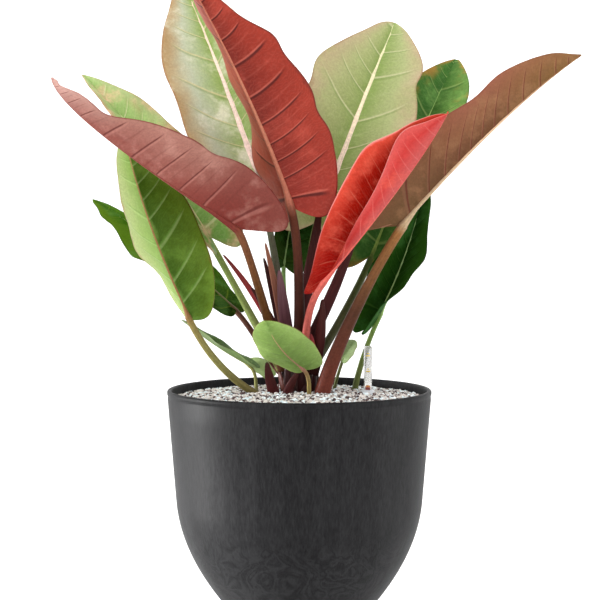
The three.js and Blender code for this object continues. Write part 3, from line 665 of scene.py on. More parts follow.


# What a leaf's sizes mean, in millimetres and degrees:
# foot, lean, neck, radii: where the stalk starts and which way, how long it runs straight into the blade,
# and how thick it is at both ends.
# base, tip, bow, bend: the midrib's ends, how far it is pushed aside, and where most.
# face, twist: where the upper side looks at its base, and how far it has turned at the tip.
# half, taper, seat: half the blade's width, how slim its tip is, and how near the base it is widest.
# fold, curl: each half's angle at the midrib (at the base, middle and tip) and its bend out to the edge.
# fan, arch, lobe: how near the base the side veins start, how they bend, and how deep the base is lobed.
# wave, waves, phase_shift: the edge's ripple, how often it comes, and where it starts.
# quilt, veins, relief: how far the fields puff up, how many side veins there are, and how high they stand.
# rib: the midrib's half width at the base, how fast it thins, what is left at the tip, and its depth.
# bumps: the side, place, length and height of each swelling or dent of the outline.
# upper, under: the colours from edge to midrib, of both halves or left and right, then the vein and its
# edge line with their strengths. Where left and right differ, that is partly painted light: one half is drawn
# lighter, as if lit, the other darker, as if in shade. The vein line is partly the vein's own colour and
# partly
# painted light: a dark line is painted shade in the sunken vein, a pale one a painted highlight on the raised
# one.
# The edge line beside it is painted light and shade on the other flank of the vein's ridge.
# patch, blotch: a colour, the size of its spots, and its strength.
class Leaf:
    """A leaf's sizes, and the places on its blade."""

    bend, twist, curl, taper, seat, fan, arch = 0.5, 0, 10, 0.5, 1.5, 1.6, 0.4
    wave, waves, phase_shift, quilt, veins, relief = 3, 3, 0, 0.8, 8, 0.25
    rib, bumps, rows, columns = (2, 0.8, 0.5, 0.85), (), 230, 26
    gloss, sheen, ior, fine, between = 0.5, 0.18, 1.5, 0.1, 0.35
    blotch, tip_shade, foot_shade = None, None, None

    def __init__(self, name, **sizes):
        self.name = name
        for key, value in sizes.items():
            setattr(self, key, value)
        for key in ("foot", "lean", "base", "tip", "bow", "face"):
            setattr(self, key, Vector(getattr(self, key)))
        self.pull = self.base.lerp(self.tip, self.bend) + self.bow * 2
        self.frames = {}
        # The rows of faces lie closer together where the side veins do.
        steps = [self.start(step / FRAMES) * 0.6 + 0.4 * step / FRAMES for step in range(FRAMES + 1)]
        self.shares = []
        spot = 0
        for row in range(self.rows + 1):
            while spot < FRAMES and steps[spot] < row / self.rows:
                spot += 1
            below = steps[max(spot - 1, 0)]
            extra = (row / self.rows - below) / (steps[spot] - below) if spot and steps[spot] > below else 0
            self.shares.append(min(1, max(0, (spot - 1 + extra) / FRAMES)) if spot else 0)
        self.shares[-1] = 1

    def directions(self, place):
        """The directions along the midrib, out of the upper side and to the right, at a place on it."""
        key = round(place * FRAMES)
        if key not in self.frames:
            inside = min(max(place, 0), 1)
            along = quadratic_way(self.base, self.pull, self.tip, inside)
            up = (self.face - along * along.dot(self.face)).normalized()
            up = Matrix.Rotation(math.radians(self.twist * place), 3, along) @ up
            self.frames[key] = (along, up, along.cross(up))
        return self.frames[key]

    def start(self, share):
        """Where on the midrib a side vein starts, whose outer end is at this share of the edge."""
        return ((1 - math.cos(math.pi * share)) / 2) ** (self.seat * self.fan)

    def phase(self, share, side):
        """Counts the side veins, a little unevenly, and set off between the two sides."""
        start = self.start(share)
        uneven = 0.35 * math.sin(9 * start + 2 * side + self.phase_shift)
        return self.veins * start + uneven + 0.45 * (side > 0) + 1

    def half_width(self, share, side):
        """How far a half's edge lies from the midrib, with its swellings and dents."""
        reach = ((1 - math.cos(math.pi * share)) / 2) ** self.seat
        half = self.half * max(math.sin(math.pi * share), 0) ** (1 + self.taper * share) + EDGE
        for bump_side, spot, length, height in self.bumps:
            if bump_side == side:
                half += height * math.exp(-((reach - spot) / length) ** 2)
        return max(half, EDGE)

    def point(self, share, spread):
        """A point of the blade's middle surface, in millimetres."""
        side = 1 if spread > 0 else -1
        part = abs(spread)
        lobe, curl, folds = [value[side > 0] if isinstance(value, tuple) else value
                             for value in (self.lobe, self.curl, self.fold)]
        reach = ((1 - math.cos(math.pi * share)) / 2) ** self.seat
        sinus = lobe * math.sin(math.pi * min((share + 0.02) / LOBE_SPAN, 1))
        start = reach ** self.fan
        place = start + (reach - sinus - start) * ((1 - self.arch) * part + self.arch * part ** 2)
        half = self.half_width(share, side)
        distance = half * part
        curve = math.radians(curl) / math.hypot(half, 0.5 * self.half)
        near, middle_fold, far = folds if isinstance(folds, tuple) else (folds, folds, folds)
        opening = near + (middle_fold - near) * ease(place / 0.4)
        opening += (far - middle_fold) * ease((place - 0.6) / 0.4)
        fold = math.radians(opening) * min(1, part * 12)
        tilt = fold + curve * distance
        aside = (math.sin(tilt) - math.sin(fold)) / curve
        lift = (math.cos(fold) - math.cos(tilt)) / curve
        middle = quadratic(self.base, self.pull, self.tip, place)
        _, up, right = self.directions(place)
        normal = up * math.cos(tilt) - right * side * math.sin(tilt)
        ripple = math.sin(math.tau * self.waves * place + self.phase_shift + side)
        ripple *= self.wave * (distance / self.half) ** 2
        phase = self.phase(share, side)
        gap = 2 * abs(phase - round(phase))
        fade = min(1, part / 0.1) * (1 - min(1, max(0, (part - 0.55) / 0.4))) ** 0.8
        puff = self.quilt * fade * ((1 - (1 - gap) ** 2.2) - 0.62)
        spot = middle + right * side * aside + up * lift
        roll = noise.noise(spot * 0.03 + Vector((self.phase_shift, 0, 0))) * min(1, part * 2)
        roll *= 1.6 * self.half / 60
        dent = 0.35 * noise.noise(spot * 0.16) * min(1, part * 5)
        return spot + normal * (ripple + puff + roll + dent)


def leaf_side(leaf, side_name, shades):
    """Living leaf skin, grown smooth under thin wax, which gives it a soft broad shine.

    Its colours run across each half under cloudy patches. Where the halves differ, that is partly painted
    light:
    one half is drawn lighter, as if lit, the other darker, as if in shade. Side veins are partly their own
    colour and partly painted light, with an edge line beside them that is a painted highlight on some leaves
    and a painted shadow on others, on the other flank of the vein's ridge. Fine ones run between.
    """
    material, tree, shader = surface(f"waxy_{leaf.name}_{side_name}", Roughness=leaf.gloss,
                                     Specular_IOR_Level=leaf.sheen, IOR=leaf.ior)
    left, right, vein, edge = shades[0], shades[-3], shades[-2], shades[-1]
    smooth = {"interpolation_type": "SMOOTHSTEP"}

    def line(value, width):
        """A ridge on every whole number, as wide as this to both sides."""
        gap = add(tree, "Math", {0: value, 1: 0.5}, operation="PINGPONG")
        far = add(tree, "Math", {0: gap, 1: width}, operation="DIVIDE", use_clamp=True)
        return add(tree, "Math", {0: 1.0, 1: far}, operation="SUBTRACT")

    coords = add(tree, "TexCoord").outputs["Object"]
    across, length, _ = add(tree, "SeparateXYZ", {0: add(tree, "UVMap", uv_map="veins")}).outputs
    spread = add(tree, "Math", {0: across, 1: 2.0, 2: -1.0}, operation="MULTIPLY_ADD")
    part = add(tree, "Math", {0: spread}, operation="ABSOLUTE")
    phase = add(tree, "Math", {0: length, 1: PHASES}, operation="MULTIPLY")
    clouds = add(tree, "TexNoise", {"Vector": coords, "Scale": 1000 / CLOUD, "Detail": 4, "Roughness": 0.6})
    clouds = add(tree, "Math", {0: clouds, 1: 0.5}, operation="SUBTRACT")
    shifted = add(tree, "Math", {0: clouds, 1: 0.14, 2: across}, operation="MULTIPLY_ADD")
    at_edge = add(tree, "MapRange", {0: part, 1: 0.93, 2: 0.99}, **smooth)
    shifted = add(tree, "Mix", {0: at_edge, 2: shifted, 3: across})
    places = (0, 0.018, 0.2, 0.46, 0.54, 0.8, 0.982, 1)
    colour = add(tree, "ValToRGB", {0: shifted}, list(zip(places, left + right[::-1])))

    # Side veins thin out and fade on their way to the edge. Fainter and finer ones run between them.
    fading = add(tree, "MapRange", {0: part, 1: 0.6, 2: 0.95, 3: 1.0, 4: 0.0}, **smooth)
    width = add(tree, "Math", {0: fading, 1: 0.026, 2: 0.016}, operation="MULTIPLY_ADD")
    veins = add(tree, "Math", {0: line(phase, width), 1: fading}, operation="MULTIPLY")
    drawn = add(tree, "Math", {0: veins, 1: 1.5}, operation="MULTIPLY", use_clamp=True)
    half_way = add(tree, "Math", {0: phase, 1: 0.5}, operation="ADD")
    between = add(tree, "Math", {0: line(half_way, 0.05), 1: fading}, operation="MULTIPLY")
    between = add(tree, "Math", {0: between, 1: leaf.between}, operation="MULTIPLY")
    # A wider line beside each vein, towards the foot, in the edge colour. It is painted light and shade: a
    # painted shadow where the edge colour is dark and a painted highlight where it is pale, on the ridge's
    # other flank.
    painted_flank_phase = add(tree, "Math", {0: phase, 1: 0.06}, operation="ADD")
    wider = add(tree, "Math", {0: width, 1: 1.5}, operation="MULTIPLY")
    beside = add(tree, "Math", {0: line(painted_flank_phase, wider), 1: fading}, operation="MULTIPLY")
    beside = add(tree, "Math", {0: beside, 1: 1.5}, operation="MULTIPLY", use_clamp=True)
    wander = add(tree, "Math", {0: clouds, 1: 1.2, 2: phase}, operation="MULTIPLY_ADD")
    seven = add(tree, "Math", {0: wander, 1: 7.0}, operation="MULTIPLY")
    fine = add(tree, "Math", {0: seven, 1: 0.5}, operation="PINGPONG")
    fine = add(tree, "MapRange", {0: fine, 1: 0.0, 2: 0.3, 3: 1.0, 4: 0.0}, **smooth)

    # The layers of colour, each with its mask and strength.
    along = add(tree, "Math", {0: phase, 1: 1.0}, operation="SUBTRACT")
    along = add(tree, "Math", {0: along, 1: 1 / leaf.veins}, operation="MULTIPLY")
    layers = []
    if leaf.tip_shade:
        layers.append((add(tree, "MapRange", {0: along, 1: 0.45, 2: 0.95}, **smooth), *leaf.tip_shade))
    if leaf.foot_shade:
        at_foot = add(tree, "MapRange", {0: along, 1: 0.0, 2: 0.3, 3: 1.0, 4: 0.0}, **smooth)
        layers.append((at_foot, *leaf.foot_shade))
    if leaf.blotch:
        code, size_mm, strength = leaf.blotch
        blotches = add(tree, "TexNoise", {"Vector": coords, "Scale": 1000 / size_mm, "Detail": 3})
        blotches = add(tree, "MapRange", {0: blotches, 1: 0.45, 2: 0.62}, **smooth)
        near_edge = add(tree, "MapRange", {0: part, 1: 0.45, 2: 0.95}, **smooth)
        layers.append((add(tree, "Math", {0: near_edge, 1: blotches}, operation="MULTIPLY"), code, strength))
    code, size_mm, strength = leaf.patch
    patches = add(tree, "TexNoise", {"Vector": coords, "Scale": 1000 / size_mm, "Detail": 5,
                                     "Roughness": 0.62})
    layers.append((add(tree, "MapRange", {0: patches, 1: 0.48, 2: 0.68}, **smooth), code, strength))
    # The edge line is painted light and shade. The drawn vein is partly its own colour and partly painted
    # light.
    layers += [(fine, vein[0], leaf.fine), (beside, *edge), (between, *vein), (drawn, *vein)]
    for mask, code, strength in layers:
        amount = add(tree, "Math", {0: mask, 1: strength}, operation="MULTIPLY")
        colour = add(tree, "Mix", {0: amount, 6: colour, 7: linear(code)}, data_type="RGBA").outputs[2]
    cells = add(tree, "TexNoise", {"Vector": coords, "Scale": 1000 / CELL, "Detail": 3, "Roughness": 0.7})
    speckle = add(tree, "MapRange", {0: cells, 1: 0.3, 2: 0.75, 3: 0.88, 4: 1.08}, **smooth)
    colour = add(tree, "Mix", {0: 1.0, 6: colour, 7: speckle}, data_type="RGBA",
                 blend_type="MULTIPLY").outputs[2]

    up = 1.0 if side_name == "under" else -1.0
    height = add(tree, "Math", {0: veins, 1: between}, operation="MAXIMUM")
    height = add(tree, "Math", {0: height, 1: up}, operation="MULTIPLY")
    height = add(tree, "Math", {0: fine, 1: 0.12 * up, 2: height}, operation="MULTIPLY_ADD")
    height = add(tree, "Math", {0: cells, 1: 0.2, 2: height}, operation="MULTIPLY_ADD")
    bump = add(tree, "Bump", {"Strength": 0.8, "Distance": leaf.relief * MM, "Height": height})
    feed(tree, shader, {"Base Color": colour, "Normal": bump})
    return material


def stalk_skin(leaf):
    """Smooth fleshy stalk skin with a low sheen, finely striped and speckled along its growth.

    Its colour runs from the foot over the blade's base to the end of the midrib.
    """
    material, tree, shader = surface(f"fleshy_{leaf.name}_stalk", Roughness=0.45, Specular_IOR_Level=0.1)
    way = add(tree, "UVMap", uv_map="UVMap")
    length = add(tree, "SeparateXYZ", {0: way}).outputs[1]
    tone = add(tree, "ValToRGB", {0: length}, list(zip((0, 0.22, 0.44, 0.52, 0.75, 1), leaf.stalk)))
    coords = add(tree, "TexCoord").outputs["Object"]
    # About 22 stripes round the stalk, drawn out along it.
    drawn_out = add(tree, "Mapping", {"Vector": way, "Scale": (1, 0.25, 1)})
    stripes = add(tree, "TexNoise", {"Vector": drawn_out, "Scale": 22, "Detail": 3})
    specks = add(tree, "TexNoise", {"Vector": coords, "Scale": 1000 / SPECK, "Detail": 2})
    both = add(tree, "Math", {0: stripes, 1: specks}, operation="ADD")
    shade = add(tree, "MapRange", {0: both, 1: 0.7, 2: 1.3, 3: 0.72, 4: 1.15})
    colour = add(tree, "Mix", {0: 1.0, 6: tone, 7: shade}, data_type="RGBA", blend_type="MULTIPLY").outputs[2]
    bump = add(tree, "Bump", {"Strength": 0.3, "Distance": 0.4 * MM, "Height": both})
    feed(tree, shader, {"Base Color": colour, "Normal": bump})
    return material


def cubic(points, share):
    """A point and the direction on a curve with two handles."""
    rest = 1 - share
    a, b, c, d = points
    spot = a * rest ** 3 + b * 3 * rest ** 2 * share + c * 3 * rest * share ** 2 + d * share ** 3
    way = (b - a) * rest ** 2 + (c - b) * 2 * rest * share + (d - c) * share ** 2
    return spot, way.normalized()


def build_blade(leaf, upper, under, slot):
    """Models a blade of an even thickness with its two sides' skins."""
    shape = bmesh.new()
    bmesh.ops.create_grid(shape, x_segments=2 * leaf.columns, y_segments=leaf.rows, size=1)
    uv = shape.loops.layers.uv.new("veins")
    for vert in shape.verts:
        vert.co.y = leaf.shares[round((vert.co.y + 1) / 2 * leaf.rows)]
    for face in shape.faces:
        side = 1 if face.calc_center_median().x > 0 else -1
        for loop in face.loops:
            spread, share = loop.vert.co.x, loop.vert.co.y
            loop[uv].uv = ((spread + 1) / 2, leaf.phase(share, side) / PHASES)
    for vert in shape.verts:
        vert.co = leaf.point(vert.co.y, vert.co.x) * MM
    blade = finish_mesh(f"leaf_{leaf.name}", shape, upper, under)
    thicken = blade.modifiers.new("thickness", "SOLIDIFY")
    thicken.thickness = BLADE_THICKNESS * MM
    thicken.offset = 0
    thicken.material_offset = 1
    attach(blade, "plant")
    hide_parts(f"blade_{leaf.name}")


def build_stalk(leaf):
    """Models a stalk that runs on under its blade as the midrib."""
    thick, thin = leaf.radii
    rib_base, rib_power, rib_end, rib_depth = leaf.rib
    along, up, _ = leaf.directions(0)
    end = leaf.base - up * 0.5 * thin + along * 3
    route = (leaf.foot, leaf.foot + leaf.lean, end - along * leaf.neck, end)
    rings, lengths = [], []
    aside = Vector((1, 0.3, 0.1))
    for step in range(STALK_STEPS + 1):
        share = step / STALK_STEPS
        centre, way = cubic(route, share)
        wide = thick + (thin - thick) * min(1, 1.6 * share)
        rings.append(ring_at(centre, way, aside, wide, wide, STALK_SIDES))
        lengths.append(0.5 * share)
    begin = 3 / ((leaf.pull - leaf.base).length * 2)
    for step in range(1, RIB_STEPS + 1):
        place = begin + (0.995 - begin) * (step / RIB_STEPS) ** 1.15
        along, up, right = leaf.directions(place)
        settle = min(1, step / 9) ** 0.7
        wide = (rib_base * (1 - place) ** rib_power + rib_end) * settle + thin * (1 - settle)
        deep = wide * (1 + (rib_depth - 1) * settle)
        sunk = 0.5 * thin * (1 - settle) + 0.2 * deep * settle
        centre = quadratic(leaf.base, leaf.pull, leaf.tip, place) - up * sunk
        across = (aside - along * along.dot(aside)).normalized()
        turned = math.atan2(-across.dot(up), across.dot(right))
        ring = []
        for side in range(STALK_SIDES):
            turn = turned + math.tau * side / STALK_SIDES
            ring.append(centre + right * wide * math.cos(turn) - up * deep * math.sin(turn))
        rings.append(ring)
        lengths.append(0.5 + 0.5 * step / RIB_STEPS)
    shape = bmesh.new()
    shape.loops.layers.uv.new("UVMap")
    sweep_rings(shape, rings, lengths)
    stem = finish_mesh(f"stem_{leaf.name}", shape, stalk_skin(leaf))
    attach(stem, "plant")
    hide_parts(f"stalk_{leaf.name}")


def grow(name, slot, stalk_slot, **sizes):
    """Makes one leaf from its sizes and colours."""
    leaf = Leaf(name, **sizes)
    skins = [leaf_side(leaf, "upper", leaf.upper), leaf_side(leaf, "under", leaf.under)]
    build_blade(leaf, *skins, slot)
    build_stalk(leaf)


grow(
    "red_upright", "leaf_red", "stalk_brown",
    upper=(("#8e3a28", "#b8543a", "#b04a34", "#9a3a2a"), ("#e09a80", 0.9), ("#7a2018", 0.2)),
    # The under side's halves differ partly as painted light: one half is drawn lighter, as if lit. Its pale
    # vein line is partly a painted highlight on the raised veins, and its dark edge line is a painted shadow
    # below them.
    under=(("#4f1008", "#892919", "#822516", "#691c11"), ("#692218", "#ab6351", "#9a4939", "#802d20"),
           ("#b8604f", 0.45), ("#420c08", 0.85)),
    stalk=("#240805", "#37170d", "#522717", "#a86450", "#b07058", "#a8604c"),
    patch=("#c05040", 50, 0.3), foot_shade=("#84261c", 0.5),
    foot=(-1, -12, 284), lean=(2, -4, 60), neck=36, radii=(6.5, 4.6),
    base=(-8, -34, 454), tip=(-110, -120, 676), bow=(6, 12, 1), face=(0.74, 0.67, 0),
    half=66, taper=1.1, seat=1.7, fold=(30, (15, 27, 17)), curl=8, lobe=0.1, fan=1.3, arch=0.65,
    phase_shift=0.3, veins=10, rib=(2.3, 1.5, 0.8, 0.85),
    relief=0.12,
    bumps=((-1, 0.68, 0.06, 7), (-1, 0.8, 0.07, -3), (-1, 0.34, 0.06, -5)),
)
grow(
    "cream_upright", "leaf_cream", "stalk_olive",
    upper=(("#94663f", "#a98e66", "#abb097", "#849a51"), ("#9b6d38", "#ae8b5a", "#a7a97e", "#7f994e"),
           ("#c2b789", 0.7), ("#708442", 0.4)),
    under=(("#a07048", "#c0a078", "#bcc49c", "#a0b478"), ("#8aa060", 0.5), ("#e0e0c0", 0.4)),
    stalk=("#3c3426", "#505040", "#62624c", "#ecd0c4", "#ead0c0", "#dcc4a4"),
    patch=("#d8d4bc", 44, 0.8), blotch=("#a07a4c", 34, 0.3),
    foot=(-12, 6, 286), lean=(-4, 2, 70), neck=30, radii=(5, 3.4),
    base=(-46, 30, 491), tip=(-131, 120, 706), bow=(1, -10, 4), face=(0.15, -0.97, 0),
    half=64, taper=0.4, fold=(12, 28), lobe=0.12, fan=1.75, arch=0.35,
    phase_shift=1.4, quilt=1.1, rib=(4.2, 0.9, 0.4, 0.5),
    between=0.12,
    bumps=((1, 0.78, 0.22, -9), (-1, 0.86, 0.12, -6), (-1, 0.35, 0.15, -4), (-1, 0.6, 0.08, 1)),
)
grow(
    "dusty_left", "leaf_dusty", "stalk_brown",
    upper=(("#7a3028", "#a8584c", "#a05044", "#8a4036"), ("#d8a090", 0.85), ("#6a2018", 0.2)),
    under=(("#682a22", "#98685c", "#905c51", "#7f4037"), ("#5a201a", 0.85), ("#c08478", 0.25)),
    stalk=("#3e2111", "#533315", "#6c412a", "#6a2a24", "#8a4a3e", "#a06858"),
    patch=("#cc9a8c", 40, 0.25), tip_shade=("#dcb4a8", 0.45), foot_shade=("#64180f", 0.8),
    foot=(-17, -8, 280), lean=(-16, -4, 50), neck=12, radii=(5.6, 4),
    base=(-61, -55, 429), tip=(-239, -140, 576), bow=(-3, 0, -13.5), bend=0.95, face=(0.45, 0.3, 0.83),
    twist=-60,
    half=58, taper=2.2, seat=2.5, fold=(58, 20), lobe=(0.09, 0), fan=0.92, arch=0.3,
    wave=5, phase_shift=0.6, quilt=0.7, veins=10, rib=(2.9, 4.9, 0.7, 0.85),
    relief=0.06,
    bumps=((-1, 0.47, 0.12, -5), (-1, 0.8, 0.13, 6), (-1, 0.56, 0.08, -7), (-1, 0.95, 0.04, 6),
           (-1, 0.18, 0.05, -6), (-1, 0.05, 0.05, 6), (1, 0.5, 0.28, -20), (1, 0.95, 0.06, -6)),
)
grow(
    "lime_left", "leaf_lime", "stalk_olive",
    upper=(("#a88c5d", "#a5b379", "#9db770", "#89a95d"), ("#c9cc9b", 0.6), ("#7c9b50", 0.4)),
    under=(("#a89868", "#a8c088", "#9cbc7c", "#88ac68"), ("#78985a", 0.5), ("#d8e4b4", 0.4)),
    stalk=("#6a6a38", "#7c8a4c", "#8ca058", "#c8b88c", "#d8d8a8", "#d0dca0"),
    patch=("#d8b490", 26, 0.8), foot_shade=("#4f8a26", 0.85), blotch=("#b87a5c", 30, 0.45),
    foot=(-19, 4, 280), lean=(-24, 6, 40), neck=30, radii=(5, 3.4),
    base=(-98, 25, 423), tip=(-236, 65, 596), bow=(4, 0, 6), face=(0.87, -0.5, 0),
    half=52, taper=0.9, seat=1.9, fold=(15, 30), lobe=0.12,
    wave=7, waves=4, quilt=1.2, veins=9, rib=(1.4, 0.8, 0.4, 0.6),
    bumps=((-1, 0.04, 0.1, -12), (-1, 0.66, 0.13, -10), (1, 0.52, 0.1, -8)),
)
grow(
    "green_hanging", "leaf_green", "stalk_olive",
    upper=(("#a08858", "#7ca64c", "#6e9e40", "#5c8c34"), ("#a8c070", 0.3), ("#4c7a2c", 0.2)),
    # The under side's halves differ partly as painted light: one half is drawn lighter, as if lit, the other
    # darker, as if in shade.
    under=(("#5a4116", "#495e12", "#3b5009", "#2f4808"), ("#947153", "#97a16c", "#8a9b5d", "#6e8a41"),
           ("#587f34", 0.3), ("#b0c880", 0.2)),
    stalk=("#5c4e2e", "#797543", "#796b3c", "#7a5434", "#84603c", "#947a4c"),
    patch=("#74963c", 60, 0.25),
    foot=(-36, -8, 250), lean=(-50, -6, 26), neck=22, radii=(4.2, 3.5),
    base=(-113, -30, 336), tip=(-182, -20, 527), bow=(-6, -4, 0), face=(0.77, 0.64, 0), twist=45,
    half=46, taper=0.6, seat=1.25, fold=(32, 25), lobe=0.05, fan=1.7, arch=0.3,
    phase_shift=2, quilt=1.1, rib=(0.9, 0.6, 0.4, 0.8),
    sheen=0.08, between=0.15,
    bumps=((1, 0.75, 0.12, -8), (1, 0.26, 0.08, -9), (1, 0.12, 0.08, -10), (-1, 0.2, 0.12, 3)),
)
grow(
    "dark_left", "leaf_dark", "stalk_brown",
    upper=(("#405712", "#57761c", "#50701b", "#365c13"), ("#365310", "#4a7119", "#446b18", "#365c13"),
           ("#7e942d", 0.3), ("#2a490d", 0.2)),
    under=(("#2c390d", "#46601a", "#405717", "#364e14"), ("#2c410e", 0.3), ("#6d7f2e", 0.2)),
    stalk=("#3a1c16", "#5a2a24", "#5c3a2c", "#6a5a38", "#7a8a4c", "#6a8440"),
    patch=("#5c8844", 30, 0.4), foot_shade=("#0e2208", 0.9),
    foot=(-16, 14, 272), lean=(-22, 8, 24), neck=24, radii=(4.4, 3),
    base=(-69, 45, 342), tip=(-231, 110, 461), bow=(0, 0, 6), face=(0.3, -0.4, 0.78),
    half=45, seat=1.2, fold=(0, -18), lobe=0.05,
    phase_shift=1, quilt=1.1, veins=10, rib=(1.5, 0.8, 0.4, 0.6),
    gloss=0.45, sheen=0.04, ior=1.04,
    bumps=((-1, 0.45, 0.1, 13), (-1, 0.76, 0.08, -6), (-1, 0.92, 0.06, -5), (1, 0.22, 0.08, 7),
           (1, 0.03, 0.05, -5)),
)
grow(
    "small_front", "leaf_green", "stalk_olive",
    upper=(("#5b581c", "#737826", "#687122", "#5b641b"), ("#afb56b", 0.2), ("#657e34", 0.1)),
    under=(("#7a6a44", "#8aa45c", "#7e9a50", "#6c8844"), ("#6a8040", 0.2), ("#b0c084", 0.1)),
    stalk=("#6a5a3c", "#8a7a48", "#8a6c4c", "#a07060", "#b08468", "#a89468"),
    patch=("#9cb86c", 20, 0.4),
    foot=(9, -25, 240), lean=(2, -8, 26), neck=14, radii=(2.6, 2),
    base=(5, -50, 285), tip=(-33, -115, 339), bow=(-5, -3, -2), face=(0, 0.6, 0.8),
    half=29, taper=0.3, fold=12, lobe=0.1,
    wave=1.5, waves=2, quilt=0.5, rows=110, columns=16, rib=(0.7, 0.8, 0.25, 0.7),
    sheen=0.06,
)
grow(
    "thin_low_left", "leaf_dark", "stalk_olive",
    upper=(("#4a5a30", "#62804a", "#5a7842", "#4c6a38"), ("#8a9c64", 0.4), ("#3c5a2c", 0.3)),
    under=(("#4a5030", "#6a7c4a", "#607444", "#54683a"), ("#46582e", 0.4), ("#8a9868", 0.3)),
    stalk=("#5a5030", "#7a7a48", "#84844c", "#8a8a58", "#94a068", "#8a9860"),
    patch=("#6e8a4c", 20, 0.4),
    foot=(-45, 12, 240), lean=(-2, 0, 20), neck=12, radii=(2.4, 1.8),
    base=(-51, 10, 283), tip=(-127, 35, 331), bow=(0, 0, -3), face=(0.5, 0, 0.85),
    half=14, fold=20, lobe=0.1, fan=1.5,
    wave=1.5, waves=2, quilt=0.3, rows=80, columns=10, rib=(0.8, 0.8, 0.3, 0.7),
)
grow(
    "tiny_back_left", "leaf_lime", "stalk_olive",
    upper=(("#8a9a60", "#a0b878", "#98b270", "#88a460"), ("#c0cc98", 0.4), ("#7c9850", 0.3)),
    under=(("#8a9460", "#98ac74", "#90a66c", "#82985c"), ("#74905a", 0.4), ("#c0cc98", 0.3)),
    stalk=("#8a9a60", "#8a9a60", "#94a468", "#a0b078", "#a8b880", "#a0b078"),
    patch=("#aec084", 16, 0.4),
    foot=(-26, 48, 240), lean=(0, 0, 10), neck=6, radii=(2, 1.5),
    base=(-32, 51, 268), tip=(-60, 66, 283), bow=(0, 0, 3), face=(0.3, -0.7, 0.6),
    half=11, fold=15, lobe=0.08, fan=1.5,
    wave=0.5, waves=2, quilt=0.2, veins=6, rows=60, columns=8, rib=(0.7, 0.8, 0.3, 0.7),
)
grow(
    "cream_right", "leaf_cream", "stalk_olive",
    upper=(("#90704e", "#ad9d79", "#9da26d", "#7c8f4b"), ("#9e7257", "#b6a482", "#a2aa74", "#7f954e"),
           ("#c0bf94", 0.7), ("#6d8541", 0.4)),
    under=(("#a08860", "#c4bc94", "#aebc84", "#94a868"), ("#869c5c", 0.5), ("#dce2b8", 0.4)),
    stalk=("#5f5a34", "#7f8458", "#8fa060", "#f0d8cc", "#eedcc0", "#dcdca8"),
    patch=("#98a868", 40, 0.5), blotch=("#b49a7c", 40, 0.25),
    foot=(4, 8, 290), lean=(2, 2, 60), neck=30, radii=(5.4, 4.2),
    base=(21, 50, 440), tip=(108, 145, 661), bow=(0, -8, 4), face=(0, -1, 0),
    half=67, taper=0.25, fold=12, curl=8, lobe=0.12, fan=1.8, arch=0.35,
    waves=4, phase_shift=2.2, quilt=1.2, veins=7, rib=(3.9, 0.55, 0.4, 0.5),
    between=0.12,
    bumps=((-1, 0.9, 0.07, -3), (-1, 0.66, 0.1, 9), (1, 0.83, 0.1, 7), (1, 0.7, 0.06, -4)),
)
grow(
    "green_right", "leaf_dark", "stalk_olive",
    upper=(("#30531f", "#3e6a29", "#3c6828", "#325d22"), ("#3c6026", "#61853e", "#547935", "#3e6829"),
           ("#849c56", 0.6), ("#2a531d", 0.4)),
    under=(("#4a6a34", "#6a9450", "#608a48", "#54803e"), ("#3e6830", 0.5), ("#94b474", 0.3)),
    stalk=("#2e2c18", "#3e3e22", "#4e5a2c", "#8aa050", "#98b468", "#8cb060"),
    patch=("#7cab56", 30, 0.5), blotch=("#b87838", 18, 0.6),
    foot=(12, 9, 280), lean=(24, 8, 34), neck=30, radii=(5, 3.8),
    base=(82, 85, 403), tip=(180, 175, 623), bow=(0, -6, 8), face=(-0.1, -1, 0),
    half=57, taper=0.7, fold=(12, 31), curl=8, lobe=0.12, fan=1.7, arch=0.35,
    quilt=1.1, rib=(1.6, 0.8, 0.5, 0.6),
    sheen=0.1,
    bumps=((1, 0.88, 0.15, 6), (1, 0.3, 0.22, -14)),
)
grow(
    "bronze_right", "leaf_bronze", "stalk_brown",
    upper=(("#8a4a3a", "#94604a", "#8a5842", "#7a4a36"), ("#c89878", 0.85), ("#5a3020", 0.3)),
    under=(("#61321e", "#7c4b34", "#70472c", "#5c3a20"), ("#763c28", "#824e39", "#764b30", "#59371d"),
           ("#5a2014", 0.8), ("#a8705a", 0.15)),
    stalk=("#6e342a", "#472819", "#855a31", "#b09878", "#c8a888", "#a07c5a"),
    patch=("#8c6444", 22, 0.5), tip_shade=("#75582b", 0.6), foot_shade=("#5a4e26", 0.35),
    foot=(20, -15, 238), lean=(10, -4, 66), neck=14, radii=(9, 5),
    base=(104, -30, 432), tip=(284, -70, 604), bow=(-5, 0, 5), bend=0.65, face=(-0.55, 0.35, 0.75),
    half=46, taper=0.4, seat=1.6, fold=50, lobe=(0, 0.1), fan=1.75, arch=0.3,
    phase_shift=1, quilt=1.2, veins=13, rib=(2.2, 1.2, 0.4, 0.85),
    relief=0.08, between=0.15,
    bumps=((1, 0, 0.06, 9), (1, 0.5, 0.1, -6), (1, 0.96, 0.05, -3)),
)
